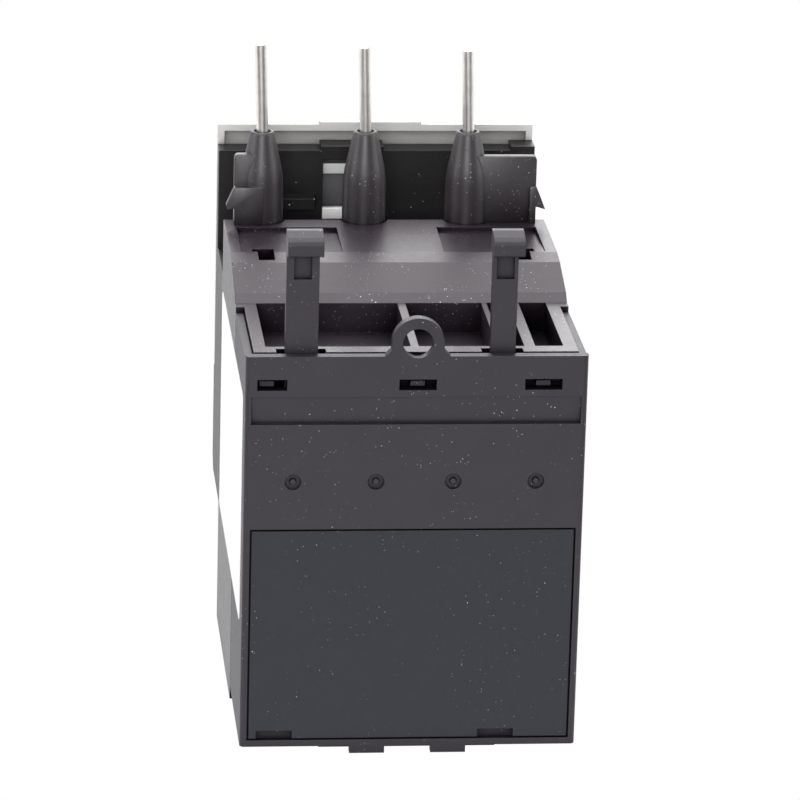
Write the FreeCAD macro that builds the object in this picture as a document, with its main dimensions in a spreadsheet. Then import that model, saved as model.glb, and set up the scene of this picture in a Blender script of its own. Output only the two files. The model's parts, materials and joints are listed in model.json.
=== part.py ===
import FreeCAD, Part
import math
import os
import re

import Sketcher

# Thermal overload relay that plugs into the underside of a contactor.
# Frame: +Z up, the front with its dial and buttons faces -Y, the cup-shaped rear cover faces +Y.
# The origin is the middle of the flat base. All sizes are millimetres.
# Poles and paired pieces are numbered from left to right as seen from the front.

DOC = FreeCAD.newDocument("OverloadRelay")
SHEET = DOC.addObject("Spreadsheet::Sheet", "Sizes")

# Driving sizes, each written once.
SIZES = (
    ("zero", 0.0),
    # Casing envelope
    ("body_width", 45.0),
    ("body_depth", 70.0),
    ("edge_round", 0.6),
    ("seam_gap", 0.3),
    ("fit_gap", 0.1),
    # Rear cover
    ("cover_lift", 2.0),
    ("cover_height", 54.7),
    ("cover_depth", 22.0),
    ("cover_wall", 1.0),
    ("cover_back", 1.4),
    ("cover_floor", 1.2),
    ("cover_gap", 0.15),
    ("cover_side_drop", 0.5),
    ("cover_nose_drop", 0.9),
    ("ear_rise", 1.75),
    ("ear_radius", 3.45),
    ("ear_bore_radius", 2.0),
    ("ear_foot", 4.3),
    ("band_drop", 5.55),
    ("band_height", 3.8),
    ("band_margin", 0.8),
    ("band_depth", 0.6),
    ("band_lip_depth", 0.15),
    ("window_drop", 3.15),
    ("window_height", 1.5),
    ("window_one_x", -16.65),
    ("window_two_x", -0.1),
    ("window_three_x", 19.0),
    ("window_width", 4.9),
    ("window_three_width", 3.9),
    ("dimple_drop", 17.3),
    ("dimple_radius", 1.1),
    ("dimple_depth", 0.4),
    ("dimple_inner_x", 5.1),
    ("dimple_outer_x", 16.05),
    ("tab_x", 5.45),
    ("tab_width", 4.7),
    ("tab_drop", 1.05),
    ("tab_thickness", 1.2),
    ("belly_width", 24.8),
    ("belly_drop", 0.6),
    ("belly_depth", 8.0),
    # Rear plate
    ("plate_margin", 0.9),
    ("plate_foot", 0.9),
    ("plate_height", 29.9),
    ("plate_thickness", 0.85),
    ("plate_gap", 0.25),
    ("plate_recess", 0.9),
    ("notch_one_x", -11.75),
    ("notch_two_x", 17.95),
    ("notch_width", 4.8),
    ("notch_height", 1.1),
    ("pad_margin", 3.2),
    ("pad_thickness", 0.9),
    # Hook arms
    ("arm_one_x", -11.3),
    ("arm_one_width", 3.3),
    ("arm_one_head", 4.1),
    ("arm_one_head_shift", -0.25),
    ("arm_two_x", 15.15),
    ("arm_two_width", 4.3),
    ("arm_two_head", 4.7),
    ("arm_two_head_shift", -0.2),
    ("arm_thickness", 1.6),
    ("arm_slot_margin", 1.1),
    ("arm_foot_margin", 0.9),
    ("arm_foot_height", 4.0),
    ("arm_foot_drop", 12.2),
    ("nose_chamfer", 0.9),
    ("arm_rise", 16.5),
    ("hook_height", 3.0),
    ("hook_reach", 2.0),
    ("hook_round", 0.75),
    ("arm_recess_height", 3.4),
    ("arm_recess_width", 2.3),
    ("arm_recess_depth", 0.5),
    # Main housing, outside
    ("front_block_depth", 15.7),
    ("rim_height", 0.1),
    ("pocket_edge_drop", 0.2),
    ("pocket_back_wall", 2.5),
    ("pocket_far", 24.0),
    ("pocket_depth", 4.2),
    ("pocket_floor", 2.0),
    ("cell_one_left", -19.55),
    ("cell_one_width", 3.7),
    ("cell_two_left", -14.4),
    ("cell_two_width", 2.9),
    ("cell_three_left", -10.8),
    ("cell_three_width", 10.3),
    ("cell_four_left", 0.6),
    ("cell_four_width", 19.1),
    ("slope_rise", 1.0),
    ("slope_share", 0.050),
    ("shoulder_rise", 3.0),
    ("shoulder_share", 0.32),
    ("crest_rise", 3.4),
    ("crest_share", 0.44),
    ("fall_rise", 3.45),
    ("fall_share", 0.74),
    ("deck_end_rise", 3.4),
    ("deck_end_inset", 2.1),
    ("deck_recess_inner", 7.0),
    ("deck_recess_outer", 20.9),
    ("deck_recess_near_share", 0.45),
    ("deck_recess_far_share", 0.865),
    ("deck_recess_near_rise", 3.38),
    ("deck_recess_far_rise", 2.75),
    ("deck_hole_x", 17.6),
    ("deck_hole_width", 2.25),
    ("deck_hole_near_share", 0.35),
    ("deck_hole_far_share", 0.512),
    ("deck_hole_depth", 6.0),
    ("deck_notch", 0.7),
    ("tooth_width", 1.9),
    ("tooth_height", 0.7),
    ("tooth_reach", 1.0),
    ("tooth_three_shift", 0.7),
    ("skin", 1.2),
    ("well_depth", 7.95),
    # Main housing, inside
    ("pole_pitch", 14.0),
    ("rib_thickness", 1.2),
    ("rib_height", 38.7),
    ("chamber_floor", 5.0),
    ("chamber_top", 43.0),
    ("chamber_wall", 1.6),
    ("chamber_deep_floor", 17.5),
    ("chamber_deep_wall", 1.6),
    ("duct_half", 19.4),
    ("duct_back", 6.5),
    # Power terminals
    ("power_cell_width", 9.4),
    ("power_cell_height", 15.0),
    ("power_cell_depth", 9.3),
    ("power_face_wall", 1.4),
    ("power_screw_height", 9.4),
    ("power_hole_radius", 3.95),
    ("power_head_radius", 3.6),
    ("power_head_height", 2.4),
    ("power_shank_radius", 2.0),
    ("power_washer_side", 8.2),
    ("power_washer_thickness", 1.2),
    ("screw_slot_width", 1.0),
    ("screw_slot_depth", 1.0),
    # Control terminals
    ("control_pitch", 10.5),
    ("control_floor", 17.5),
    ("control_top", 33.0),
    ("control_cell_width", 7.0),
    ("control_cell_height", 13.0),
    ("control_cell_depth", 9.0),
    ("control_face_wall", 2.4),
    ("back_recess_depth", 4.8),
    ("back_recess_foot", 2.0),
    ("control_screw_rise", 8.0),
    ("control_hole_radius", 3.05),
    ("control_head_radius", 2.75),
    ("control_head_height", 1.9),
    ("control_shank_radius", 1.5),
    ("control_washer_side", 5.8),
    ("control_washer_thickness", 0.9),
    ("control_bar_width", 5.0),
    ("control_bar_thickness", 0.8),
    ("control_bar_top", 39.6),
    ("block_chamfer", 1.7),
    # Front housing
    ("block_gap", 0.2),
    ("front_step", 1.5),
    ("front_wall", 2.5),
    ("wall_thickness", 3.5),
    ("wall_rise", 14.4),
    ("lintel_rise", 0.6),
    ("lintel_left", -0.9),
    ("lintel_right", 8.0),
    ("lintel_side", 3.4),
    ("works_floor", 34.5),
    ("works_height", 16.0),
    ("works_side_wall", 1.6),
    ("wall_opening_left", -1.0),
    ("wall_opening_right", 7.8),
    ("wall_opening_foot", 4.0),
    ("wall_opening_height", 9.0),
    ("ledge_left", 8.9),
    ("ledge_right", 13.4),
    ("ledge_foot", 6.2),
    ("ledge_height", 1.6),
    ("ledge_reach", 1.9),
    # Front fascia
    ("fascia_foot", 0.2),
    ("fascia_top", 69.2),
    ("fascia_rim", 0.95),
    ("fascia_hollow", 0.7),
    ("fascia_hollow_height", 5.0),
    ("fascia_crest", 0.35),
    ("fascia_crest_left", -6.5),
    ("fascia_crest_right", 8.0),
    ("fascia_gap", 0.3),
    # Flap over the dial
    ("flap_inset", 1.8),
    ("flap_right", -4.3),
    ("flap_foot", 36.2),
    ("flap_top", 53.6),
    ("flap_gap", 0.3),
    ("flap_thickness", 1.0),
    ("flap_barrel_radius", 0.5),
    ("flap_axis_rise", 0.85),
    ("flap_axis_depth", 0.6),
    ("flap_pin_radius", 0.4),
    ("flap_pin_length", 0.9),
    ("flap_lip_width", 6.0),
    ("flap_lip_height", 0.8),
    ("flap_lip_reach", 0.6),
    # Setting dial
    ("dial_inset", 10.1),
    ("control_row", 44.8),
    ("dial_radius", 5.8),
    ("dial_head", 1.7),
    ("dial_recess", 1.8),
    ("dial_gap", 0.25),
    ("dial_shaft_radius", 2.4),
    ("running_gap", 0.05),
    ("dial_shaft_length", 5.5),
    ("dial_slot_width", 1.2),
    ("dial_slot_depth", 0.9),
    ("dial_slot_half", 3.8),
    ("dial_pointer_width", 1.6),
    ("cam_radius", 3.6),
    ("cam_offset", 0.8),
    ("cam_thickness", 2.0),
    # Stop, reset and test buttons
    ("button_well", 6.5),
    ("well_wall", 0.8),
    ("well_floor", 1.0),
    ("stop_x", 7.0),
    ("stop_side", 6.4),
    ("stop_proud", 1.5),
    ("reset_inset", 6.1),
    ("reset_radius", 3.2),
    ("reset_proud", 2.2),
    ("reset_slot_width", 1.0),
    ("reset_slot_half", 1.9),
    ("test_x", -0.6),
    ("test_radius", 1.6),
    ("test_sunk", 0.4),
    ("test_slot_width", 0.5),
    ("test_slot_half", 0.95),
    ("button_gap", 0.2),
    ("spring_room", 3.3),
    ("rod_radius", 0.9),
    ("rod_tail", 1.6),
    ("rod_collar_radius", 1.35),
    ("rod_collar_length", 0.7),
    ("spring_wire", 0.4),
    ("spring_turns", 3.5),
    ("selector_outer", 4.9),
    ("selector_inner", 3.5),
    ("selector_height", 1.9),
    ("selector_notch", 1.2),
    # Trip indicator
    ("flag_recess_depth", 2.6),
    ("flag_side", 0.8),
    ("flag_height", 9.2),
    ("flag_thickness", 1.2),
    ("flag_foot", 1.4),
    ("flag_travel", 2.2),
    ("flag_gap", 0.1),
    ("flag_window_x", 3.4),
    ("flag_window_width", 5.0),
    ("flag_window_height", 3.4),
    ("flag_window_z", 60.2),
    ("flag_boss_width", 4.2),
    ("flag_boss_height", 5.6),
    ("flag_tail_left", 0.2),
    ("flag_tail_width", 2.0),
    ("flag_tail_length", 3.2),
    # Connector pins and their sleeves
    ("pin_pitch", 14.4),
    ("pin_two_x", 2.85),
    ("pin_setback", 1.6),
    ("pin_radius", 0.825),
    ("pin_lean", 2.0),
    ("pin_tip_chamfer", 0.3),
    ("pin_reach", 11.9),
    ("pin_reach_step", 0.4),
    ("sleeve_radius", 3.05),
    ("sleeve_straight", 14.6),
    ("sleeve_taper", 6.1),
    ("sleeve_top_radius", 1.45),
    ("sleeve_shoulder", 1.6),
    ("sleeve_shoulder_radius", 2.8),
    ("sleeve_bore_radius", 1.0),
    ("sleeve_gap", 0.3),
    ("wing_thickness", 1.2),
    ("wing_setback", 1.05),
    ("barb_forward", 0.15),
    ("wing_lift", 0.2),
    ("wing_top", 9.8),
    ("wing_end", 21.1),
    ("wing_three_end", 21.2),
    ("barb_out", 1.4),
    ("wing_corner", 0.4),
    ("rib_rise", 0.35),
    ("barb_height", 2.3),
    ("barb_length", 3.0),
    ("wing_strip", 0.9),
    # Conductors
    ("lug_thickness", 1.2),
    ("lug_margin", 2.6),
    ("lug_drop", 0.1),
    ("lug_back", 36.9),
    ("lug_tab_width", 5.0),
    ("lug_tab_thickness", 1.2),
    ("lug_tab_foot", 35.2),
    ("bar_thickness", 1.2),
    ("bar_width", 6.0),
    ("bar_height", 6.6),
    ("bar_foot_height", 5.0),
    ("bar_clamp_height", 9.2),
    ("bar_clamp_drop", 2.4),
    # Bimetal strips and heaters
    ("strip_thickness", 0.9),
    ("strip_width", 5.0),
    ("strip_setback", 27.5),
    ("strip_top", 44.0),
    ("heater_foot", 13.0),
    ("heater_top", 36.4),
    ("heater_gap", 0.5),
    ("ribbon_thickness", 0.6),
    ("ribbon_width", 1.5),
    ("ribbon_turns", 7.0),
    # Trip works
    ("slider_gap", 0.3),
    ("link_pitch", 4.0),
    ("link_width", 2.4),
    ("link_thickness", 1.0),
    ("link_pin_radius", 0.6),
    ("slider_thickness", 2.0),
    ("slider_length", 36.5),
    ("slider_start", -18.9),
    ("slider_width", 8.0),
    ("trip_travel", 1.5),
    ("finger_width", 1.5),
    ("finger_overlap", 0.4),
    ("lever_x", 10.6),
    ("lever_arm", 10.6),
    ("lever_reach", 8.0),
    ("lever_inset", 11.5),
    ("lever_thickness", 1.6),
    ("lever_width", 1.0),
    ("lever_boss_radius", 1.8),
    ("lever_pin_radius", 0.9),
    ("lever_drop", 0.3),
    ("carrier_width", 4.4),
    ("carrier_inset", 4.3),
    ("carrier_length", 8.7),
    ("carrier_height", 5.6),
    ("carrier_horn", 2.2),
    ("horn_thickness", 0.7),
    ("horn_half", 0.8),
    ("carrier_travel", 2.0),
    ("bridge_foot", 36.3),
    ("bridge_height", 2.7),
    ("bridge_thickness", 0.8),
    ("bridge_length", 16.2),
    ("contact_gap", 0.1),
    ("rivet_radius", 0.9),
    ("rivet_height", 0.3),
)

# Sizes worked out from the driving ones.
DERIVED = (
    ("half_width", "body_width / 2"),
    ("flap_left", "-half_width + flap_inset"),
    ("dial_x", "-half_width + dial_inset"),
    ("reset_x", "half_width - reset_inset"),
    ("rear_face", "(body_depth + reset_proud - hook_reach + cover_back + fit_gap) / 2"),
    ("front_face", "rear_face - body_depth"),
    ("cover_top", "cover_lift + cover_height"),
    ("cover_front", "rear_face - cover_depth"),
    ("cover_inner", "rear_face - cover_back"),
    ("cup_half", "half_width - cover_wall"),
    ("ear_z", "cover_top + ear_rise"),
    ("window_top", "cover_top - window_drop"),
    ("plate_half", "half_width - plate_margin - plate_gap"),
    ("plate_bottom", "cover_lift + plate_foot + plate_gap"),
    ("plate_top", "plate_bottom + plate_height - 2 * plate_gap"),
    ("housing_half", "cup_half - cover_gap"),
    ("housing_back", "cover_inner - seam_gap"),
    ("housing_foot", "cover_lift + cover_floor + cover_gap"),
    ("wide_back", "cover_front - seam_gap"),
    ("housing_front", "front_face + front_block_depth"),
    ("block_back", "housing_front - block_gap"),
    ("power_front_y", "housing_front + power_face_wall"),
    ("power_back_y", "power_front_y + power_cell_depth"),
    ("chamber_front_y", "power_back_y + chamber_wall"),
    ("chamber_deep_y", "housing_front + chamber_deep_wall"),
    ("rim_top", "cover_top + rim_height"),
    ("pocket_edge", "cover_top - pocket_edge_drop"),
    ("pocket_bed", "pocket_edge - pocket_depth"),
    ("pocket_near_y", "housing_back - pocket_back_wall"),
    ("pocket_far_y", "rear_face - pocket_far"),
    ("deck_end", "housing_front + deck_end_inset"),
    ("deck_run", "pocket_far_y - deck_end"),
    ("deck_recess_near", "pocket_far_y - deck_recess_near_share * deck_run"),
    ("deck_recess_far", "pocket_far_y - deck_recess_far_share * deck_run"),
    ("deck_hole_near", "pocket_far_y - deck_hole_near_share * deck_run"),
    ("deck_hole_far", "pocket_far_y - deck_hole_far_share * deck_run"),
    ("deck_top", "pocket_edge + deck_end_rise"),
    ("well_bed", "deck_top - well_depth"),
    ("duct_top", "pocket_bed - pocket_floor"),
    ("pin_y", "housing_front + pin_setback"),
    ("pin_one_x", "pin_two_x - pin_pitch"),
    ("pin_three_x", "pin_two_x + pin_pitch"),
    ("sleeve_top", "well_bed + sleeve_straight + sleeve_taper"),
    ("wing_foot", "deck_top + wing_lift"),
    ("lug_top", "duct_top - lug_drop"),
    ("arm_back", "cover_inner - fit_gap"),
    ("arm_front", "arm_back - arm_thickness"),
    ("arm_slot_front", "arm_front - fit_gap"),
    ("arm_top", "cover_top + arm_rise"),
    ("arm_foot", "cover_top - arm_foot_drop"),
    ("step_face", "front_face + front_step"),
    ("wall_back", "step_face + wall_thickness"),
    ("wall_top", "well_bed + wall_rise"),
    ("works_top", "works_floor + works_height"),
    ("works_front", "step_face + front_wall"),
    ("works_half", "half_width - works_side_wall"),
    ("control_screw_z", "control_floor + control_screw_rise"),
    ("control_back_y", "front_face + control_cell_depth"),
    ("fascia_bottom", "control_top + fascia_foot"),
    ("flap_axis_y", "front_face + flap_axis_depth"),
    ("flap_axis_z", "flap_foot + flap_axis_rise"),
    ("well_bottom", "step_face + button_well"),
    ("button_back", "well_bottom - spring_room"),
    ("strip_y", "rear_face - strip_setback"),
    ("heater_half_x", "strip_thickness / 2 + heater_gap"),
    ("heater_half_y", "strip_width / 2 + heater_gap"),
    ("lower_slider_z", "rib_height + fit_gap"),
    ("upper_slider_z", "lower_slider_z + slider_thickness + fit_gap"),
    ("slider_y", "strip_y + (slider_width - strip_width) / 2"),
    ("lever_y", "front_face + lever_inset"),
    ("bar_y", "control_back_y - fit_gap"),
    ("lever_z", "upper_slider_z + (slider_thickness - lever_thickness) / 2"),
    ("flag_bed", "well_bed + flag_foot"),
    ("pole_one_x", "-pole_pitch"),
    ("pole_two_x", "zero"),
    ("pole_three_x", "pole_pitch"),
)
ALIASES = {name for name, _ in SIZES + DERIVED}
WORD = re.compile(r"[a-z]\w*")

# Each kind of sketch plane: its role in a body's origin, the sense of its normal along the
# frame's axis, and whether a pad or a pocket has to be reversed to run towards the plus side.
PLANES = {
    "XY": ("XY_Plane", "", False, True),
    "XZ": ("XZ_Plane", "-", True, False),
    "YZ": ("YZ_Plane", "", False, True),
}
TURNS = {
    "X": FreeCAD.Rotation(FreeCAD.Vector(0, 1, 0), 90),
    "Y": FreeCAD.Rotation(FreeCAD.Vector(1, 0, 0), -90),
    "Z": FreeCAD.Rotation(),
}
PIECES = {}
HIDDEN_SIDES = 8
HEAD_SIDES = 16
SPRING_SIDES = 6
OCTAGON_SHARE = math.tan(math.pi / 8)
# Lengths closer than this are the same.
SAME = 0.01
POLES = ("one", "two", "three")
CONTROL_X = tuple(f"{step} * control_pitch" for step in (-1.5, -0.5, 0.5, 1.5))


def fill_sheet():
    """Write every size into the sheet as text, the derived ones as formulas."""
    rows = [(name, str(number)) for name, number in SIZES]
    rows += [(name, "=" + formula) for name, formula in DERIVED]
    for row, (name, content) in enumerate(rows, 1):
        SHEET.set(f"A{row}", name)
        SHEET.set(f"B{row}", content)
        SHEET.setAlias(f"B{row}", name)
    DOC.recompute()


def bound(formula):
    """Point each size that a formula names at its cell of the sheet."""
    return WORD.sub(lambda hit: "Sizes." + hit.group() if hit.group() in ALIASES else hit.group(), formula)


def number(formula):
    """Work a formula out with the sheet's present values."""
    return float(SHEET.evalExpression(bound(formula)))


def bind(item, formulas):
    """Tie properties of an object to formulas of the sheet's sizes."""
    for path, formula in formulas.items():
        item.setExpression(path, bound(formula))
    return item


def shift(item, across="zero", along="zero", up="zero"):
    """Place an object by formulas for its X, Y and Z."""
    return bind(item, {
        "Placement.Base.x": across,
        "Placement.Base.y": along,
        "Placement.Base.z": up,
    })


def keep(label, item):
    """Give the finished piece its name and put it on the list that is written out."""
    item.Label = label
    PIECES[label] = item
    return item


def box(across, along, up):
    """A block from pairs of formulas, low and high, on the three axes."""
    block = DOC.addObject("Part::Box", "block")
    lengths = [f"({high}) - ({low})" for low, high in (across, along, up)]
    bind(block, dict(zip(("Length", "Width", "Height"), lengths)))
    return shift(block, across[0], along[0], up[0])


def rod(axis, place, start, length, radius):
    """A cylinder along one axis. place holds its other two coordinates, in X, Y, Z order."""
    cylinder = DOC.addObject("Part::Cylinder", "rod")
    cylinder.Placement = FreeCAD.Placement(FreeCAD.Vector(), TURNS[axis])
    bind(cylinder, {"Radius": radius, "Height": length})
    spot = list(place)
    spot.insert("XYZ".index(axis), start)
    return shift(cylinder, *spot)


def prism(axis, place, start, length, radius, sides=HIDDEN_SIDES):
    """A bar with flat sides along one axis, for shanks and holes that no one sees."""
    bar = DOC.addObject("Part::Prism", "prism")
    bar.Polygon = sides
    bar.Placement = FreeCAD.Placement(FreeCAD.Vector(), TURNS[axis])
    bind(bar, {"Circumradius": radius, "Height": length})
    spot = list(place)
    spot.insert("XYZ".index(axis), start)
    return shift(bar, *spot)


def cut(base, *tools):
    """The base without its tools."""
    tool = tools[0] if len(tools) == 1 else fuse(*tools)
    result = DOC.addObject("Part::Cut", "cut")
    result.Base = base
    result.Tool = tool
    result.Refine = True
    return result


def fuse(*shapes):
    """Several shapes made one."""
    result = DOC.addObject("Part::MultiFuse", "fuse")
    result.Shapes = list(shapes)
    result.Refine = True
    return result


def group(*shapes):
    """Like pieces that stay apart but share one name."""
    result = DOC.addObject("Part::Compound", "group")
    result.Links = list(shapes)
    return result


def rect(left, right, low, high):
    """The four corners of a rectangle as formulas."""
    return [(left, low), (right, low), (right, high), (left, high)]


def square(across, up, half):
    """A square about its middle."""
    return rect(f"{across} - ({half})", f"{across} + ({half})", f"{up} - ({half})", f"{up} + ({half})")


def octagon(across, up, half):
    """An eight-sided outline about its middle, for rods and holes that no one sees."""
    whole, part = f"({half})", f"({half}) * {OCTAGON_SHARE:.6f}"
    steps = (
        (f"+ {whole}", f"- {part}"), (f"+ {whole}", f"+ {part}"), (f"+ {part}", f"+ {whole}"),
        (f"- {part}", f"+ {whole}"), (f"- {whole}", f"+ {part}"), (f"- {whole}", f"- {part}"),
        (f"- {part}", f"- {whole}"), (f"+ {part}", f"- {whole}"),
    )
    return [(f"{across} {x}", f"{up} {z}") for x, z in steps]


class Moulding:
    """One piece built up from sketched pads, pockets, turned profiles and rounded edges."""

    def __init__(self, label):
        self.body = DOC.addObject("PartDesign::Body", label + "_body")
        keep(label, self.body)

    def sketch(self, plane, place, loops):
        """Draw loops on an origin plane moved to a place along its normal.

        A list of points is a closed polygon, a tuple (x, y, radius) a circle.
        """
        role, sense = PLANES[plane][:2]
        support = next(item for item in self.body.Origin.OriginFeatures if item.Role == role)
        drawing = self.body.newObject("Sketcher::SketchObject", "outline")
        drawing.AttachmentSupport = (support, "")
        drawing.MapMode = "FlatFace"
        bind(drawing, {"AttachmentOffset.Base.z": f"{sense}({place})"})
        for loop in loops:
            if isinstance(loop, tuple):
                self.draw_circle(drawing, *loop)
            else:
                self.draw_polygon(drawing, loop)
        return drawing

    @staticmethod
    def constrain(drawing, limits):
        """Add constraints and tie each one to its formula."""
        for limit, formula in limits:
            index = drawing.addConstraint(limit)
            drawing.setExpression(f"Constraints[{index}]", bound(formula))

    def draw_circle(self, drawing, across, up, radius):
        """A circle held by its centre and radius."""
        centre = (number(across), number(up))
        size = number(radius)
        index = drawing.addGeometry(Part.Circle(FreeCAD.Vector(*centre, 0), FreeCAD.Vector(0, 0, 1), size))
        self.constrain(drawing, (
            (Sketcher.Constraint("Radius", index, size), radius),
            (Sketcher.Constraint("DistanceX", -1, 1, index, 3, centre[0]), across),
            (Sketcher.Constraint("DistanceY", -1, 1, index, 3, centre[1]), up),
        ))

    def draw_polygon(self, drawing, points):
        """A closed polygon whose corners are held by their two coordinates."""
        spots = [(number(across), number(up)) for across, up in points]
        first = drawing.GeometryCount
        for near, far in zip(spots, spots[1:] + spots[:1]):
            drawing.addGeometry(Part.LineSegment(FreeCAD.Vector(*near, 0), FreeCAD.Vector(*far, 0)))
        last = drawing.GeometryCount
        for index in range(first, last):
            after = index + 1 if index + 1 < last else first
            drawing.addConstraint(Sketcher.Constraint("Coincident", index, 2, after, 1))
        limits = []
        for index, spot, formulas in zip(range(first, last), spots, points):
            for kind, place, formula in zip(("DistanceX", "DistanceY"), spot, formulas):
                limits.append((Sketcher.Constraint(kind, -1, 1, index, 1, place), formula))
        self.constrain(drawing, limits)

    def pad(self, plane, start, end, *loops):
        """Fill the loops from one place to another along the plane's axis."""
        feature = self.body.newObject("PartDesign::Pad", "pad")
        feature.Profile = self.sketch(plane, start, loops)
        feature.Reversed = PLANES[plane][2]
        bind(feature, {"Length": f"({end}) - ({start})"})
        return self

    def pocket(self, plane, start, end, *loops):
        """Empty the loops from one place to another along the plane's axis."""
        feature = self.body.newObject("PartDesign::Pocket", "pocket")
        feature.Profile = self.sketch(plane, start, loops)
        feature.Reversed = PLANES[plane][3]
        bind(feature, {"Length": f"({end}) - ({start})"})
        return self

    def turn(self, points):
        """Turn a profile drawn on the XZ plane about the vertical axis."""
        feature = self.body.newObject("PartDesign::Revolution", "turned")
        drawing = self.sketch("XZ", "zero", [points])
        feature.Profile = drawing
        feature.ReferenceAxis = (drawing, ["V_Axis"])
        feature.Angle = 360
        return self

    def edge(self, kind, size, test):
        """Fillet or chamfer the edges of the present shape that pass a test of their bounds."""
        DOC.recompute()
        base = self.body.Tip
        names = [f"Edge{index}" for index, line in enumerate(base.Shape.Edges, 1) if test(line.BoundBox)]
        feature = self.body.newObject("PartDesign::" + kind, kind.lower())
        feature.Base = (base, names)
        bind(feature, {"Radius" if kind == "Fillet" else "Size": size})
        return self

    def put(self, across="zero", along="zero", up="zero"):
        """Place the whole piece."""
        shift(self.body, across, along, up)
        return self


def near(first, second):
    """Whether two lengths in millimetres are the same."""
    return abs(first - second) < SAME


def pole_x(name):
    """The size that holds a pole's middle."""
    return f"pole_{name}_x"


def make_rear_cover():
    """The cup that closes the rear, with its ear, latch windows, band and plate recess."""
    cover = Moulding("rear_cover")
    side = [
        ("rear_face", "cover_lift"), ("cover_front", "cover_lift"),
        ("cover_front", "cover_top - cover_nose_drop"), ("cover_inner", "cover_top - cover_side_drop"),
        ("cover_inner", "cover_top"), ("rear_face", "cover_top"),
    ]
    cover.pad("YZ", "-half_width", "half_width", side)
    cover.edge("Fillet", "edge_round", lambda b: near(b.YMin, b.YMax) and near(b.XMin, b.XMax)
               and near(b.YMax, number("rear_face")))
    cover.pocket("XZ", "cover_front", "cover_inner",
                 rect("-cup_half", "cup_half", "cover_lift + cover_floor", "cover_top + edge_round"))
    tabs = [rect(f"{side} - tab_width / 2", f"{side} + tab_width / 2", "cover_lift - tab_drop", "cover_lift")
            for side in ("-tab_x", "tab_x")]
    cover.pad("XZ", "rear_face - tab_thickness", "rear_face", *tabs)
    cover.pad("XZ", "rear_face - tab_thickness - belly_depth", "rear_face - tab_thickness", [
        ("-belly_width / 2", "cover_lift"), ("-belly_width / 2 + belly_drop", "cover_lift - belly_drop"),
        ("belly_width / 2 - belly_drop", "cover_lift - belly_drop"), ("belly_width / 2", "cover_lift"),
    ])
    cover.pad("XZ", "cover_inner - pad_thickness", "cover_inner",
              rect("-half_width + pad_margin", "half_width - pad_margin",
                   "chamber_floor + seam_gap", "plate_top"))
    cover.pad("XZ", "cover_inner", "rear_face", [
        ("-ear_foot", "cover_top"), ("ear_foot", "cover_top"),
        ("ear_radius", "cover_top + ear_foot - ear_radius"), ("ear_radius", "ear_z"),
        ("-ear_radius", "ear_z"), ("-ear_radius", "cover_top + ear_foot - ear_radius"),
    ])
    cover.pad("XZ", "cover_inner", "rear_face", ("zero", "ear_z", "ear_radius"))
    cover.pocket("XZ", "cover_inner", "rear_face", ("zero", "ear_z", "ear_bore_radius"))
    windows = (
        ("window_one_x", "window_width"), ("window_two_x", "window_width"),
        ("window_three_x", "window_three_width"),
    )
    cover.pocket("XZ", "cover_inner", "rear_face", *[
        rect(f"{spot} - {width} / 2", f"{spot} + {width} / 2", "window_top - window_height", "window_top")
        for spot, width in windows])
    cover.pocket("YZ", "-half_width + band_margin", "half_width - band_margin", [
        ("rear_face", "cover_top - band_drop"),
        ("rear_face - band_lip_depth", "cover_top - band_drop"),
        ("rear_face - band_depth", "cover_top - band_drop - band_height"),
        ("rear_face", "cover_top - band_drop - band_height"),
    ])
    cover.pocket("XZ", "rear_face - dimple_depth", "rear_face", *[
        (spot, "cover_top - dimple_drop", "dimple_radius")
        for spot in ("-dimple_outer_x", "-dimple_inner_x", "dimple_inner_x", "dimple_outer_x")])
    cover.pocket("XZ", "rear_face - plate_recess", "rear_face",
                 rect("-plate_half - plate_gap", "plate_half + plate_gap",
                      "plate_bottom - plate_gap", "plate_top + plate_gap"))


def make_rear_plate():
    """The flat plate let into the rear cover, with two pry notches at its lower edge."""
    plate = Moulding("rear_plate")
    back = "rear_face - plate_recess"
    plate.pad("XZ", back, back + " + plate_thickness",
              rect("-plate_half", "plate_half", "plate_bottom", "plate_top"))
    plate.pocket("XZ", back, back + " + plate_thickness", *[
        rect(f"{spot} - notch_width / 2", f"{spot} + notch_width / 2",
             "plate_bottom - plate_gap", "plate_bottom + notch_height")
        for spot in ("notch_one_x", "notch_two_x")])


def make_hook_arm(label, name):
    """A springy arm that stands between cover and housing and hooks the contactor."""
    arm = Moulding(label)
    width, head, offset = f"{name}_width", f"{name}_head", f"{name}_head_shift"
    arm.pad("YZ", f"-{width} / 2", f"{width} / 2",
            rect("arm_front", "arm_back", "arm_foot", "arm_top - hook_height / 2"))
    arm.pad("XZ", "arm_front", "arm_back",
            rect(f"-{width} / 2 - arm_foot_margin", f"{width} / 2 + arm_foot_margin",
                 "arm_foot", "arm_foot + arm_foot_height"))
    nose = "arm_back + hook_reach"
    arm.pad("YZ", f"{offset} - {head} / 2", f"{offset} + {head} / 2", [
        ("arm_front", "arm_top - hook_height"), (nose, "arm_top - hook_height"),
        (nose, "arm_top - nose_chamfer"), (f"{nose} - nose_chamfer", "arm_top - nose_chamfer / 2"),
        ("arm_front + nose_chamfer", "arm_top"), ("arm_front", "arm_top"),
    ])
    arm.edge("Fillet", "hook_round", lambda b: near(b.YMin, b.YMax) and near(b.ZMin, b.ZMax)
             and near(b.YMax, number(nose)))
    arm.pocket("XZ", "arm_back - arm_recess_depth", "arm_back",
               rect("-arm_recess_width / 2", "arm_recess_width / 2",
                    "arm_top - hook_height - arm_recess_height", "arm_top - hook_height"))
    arm.put(f"{name}_x")


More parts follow.
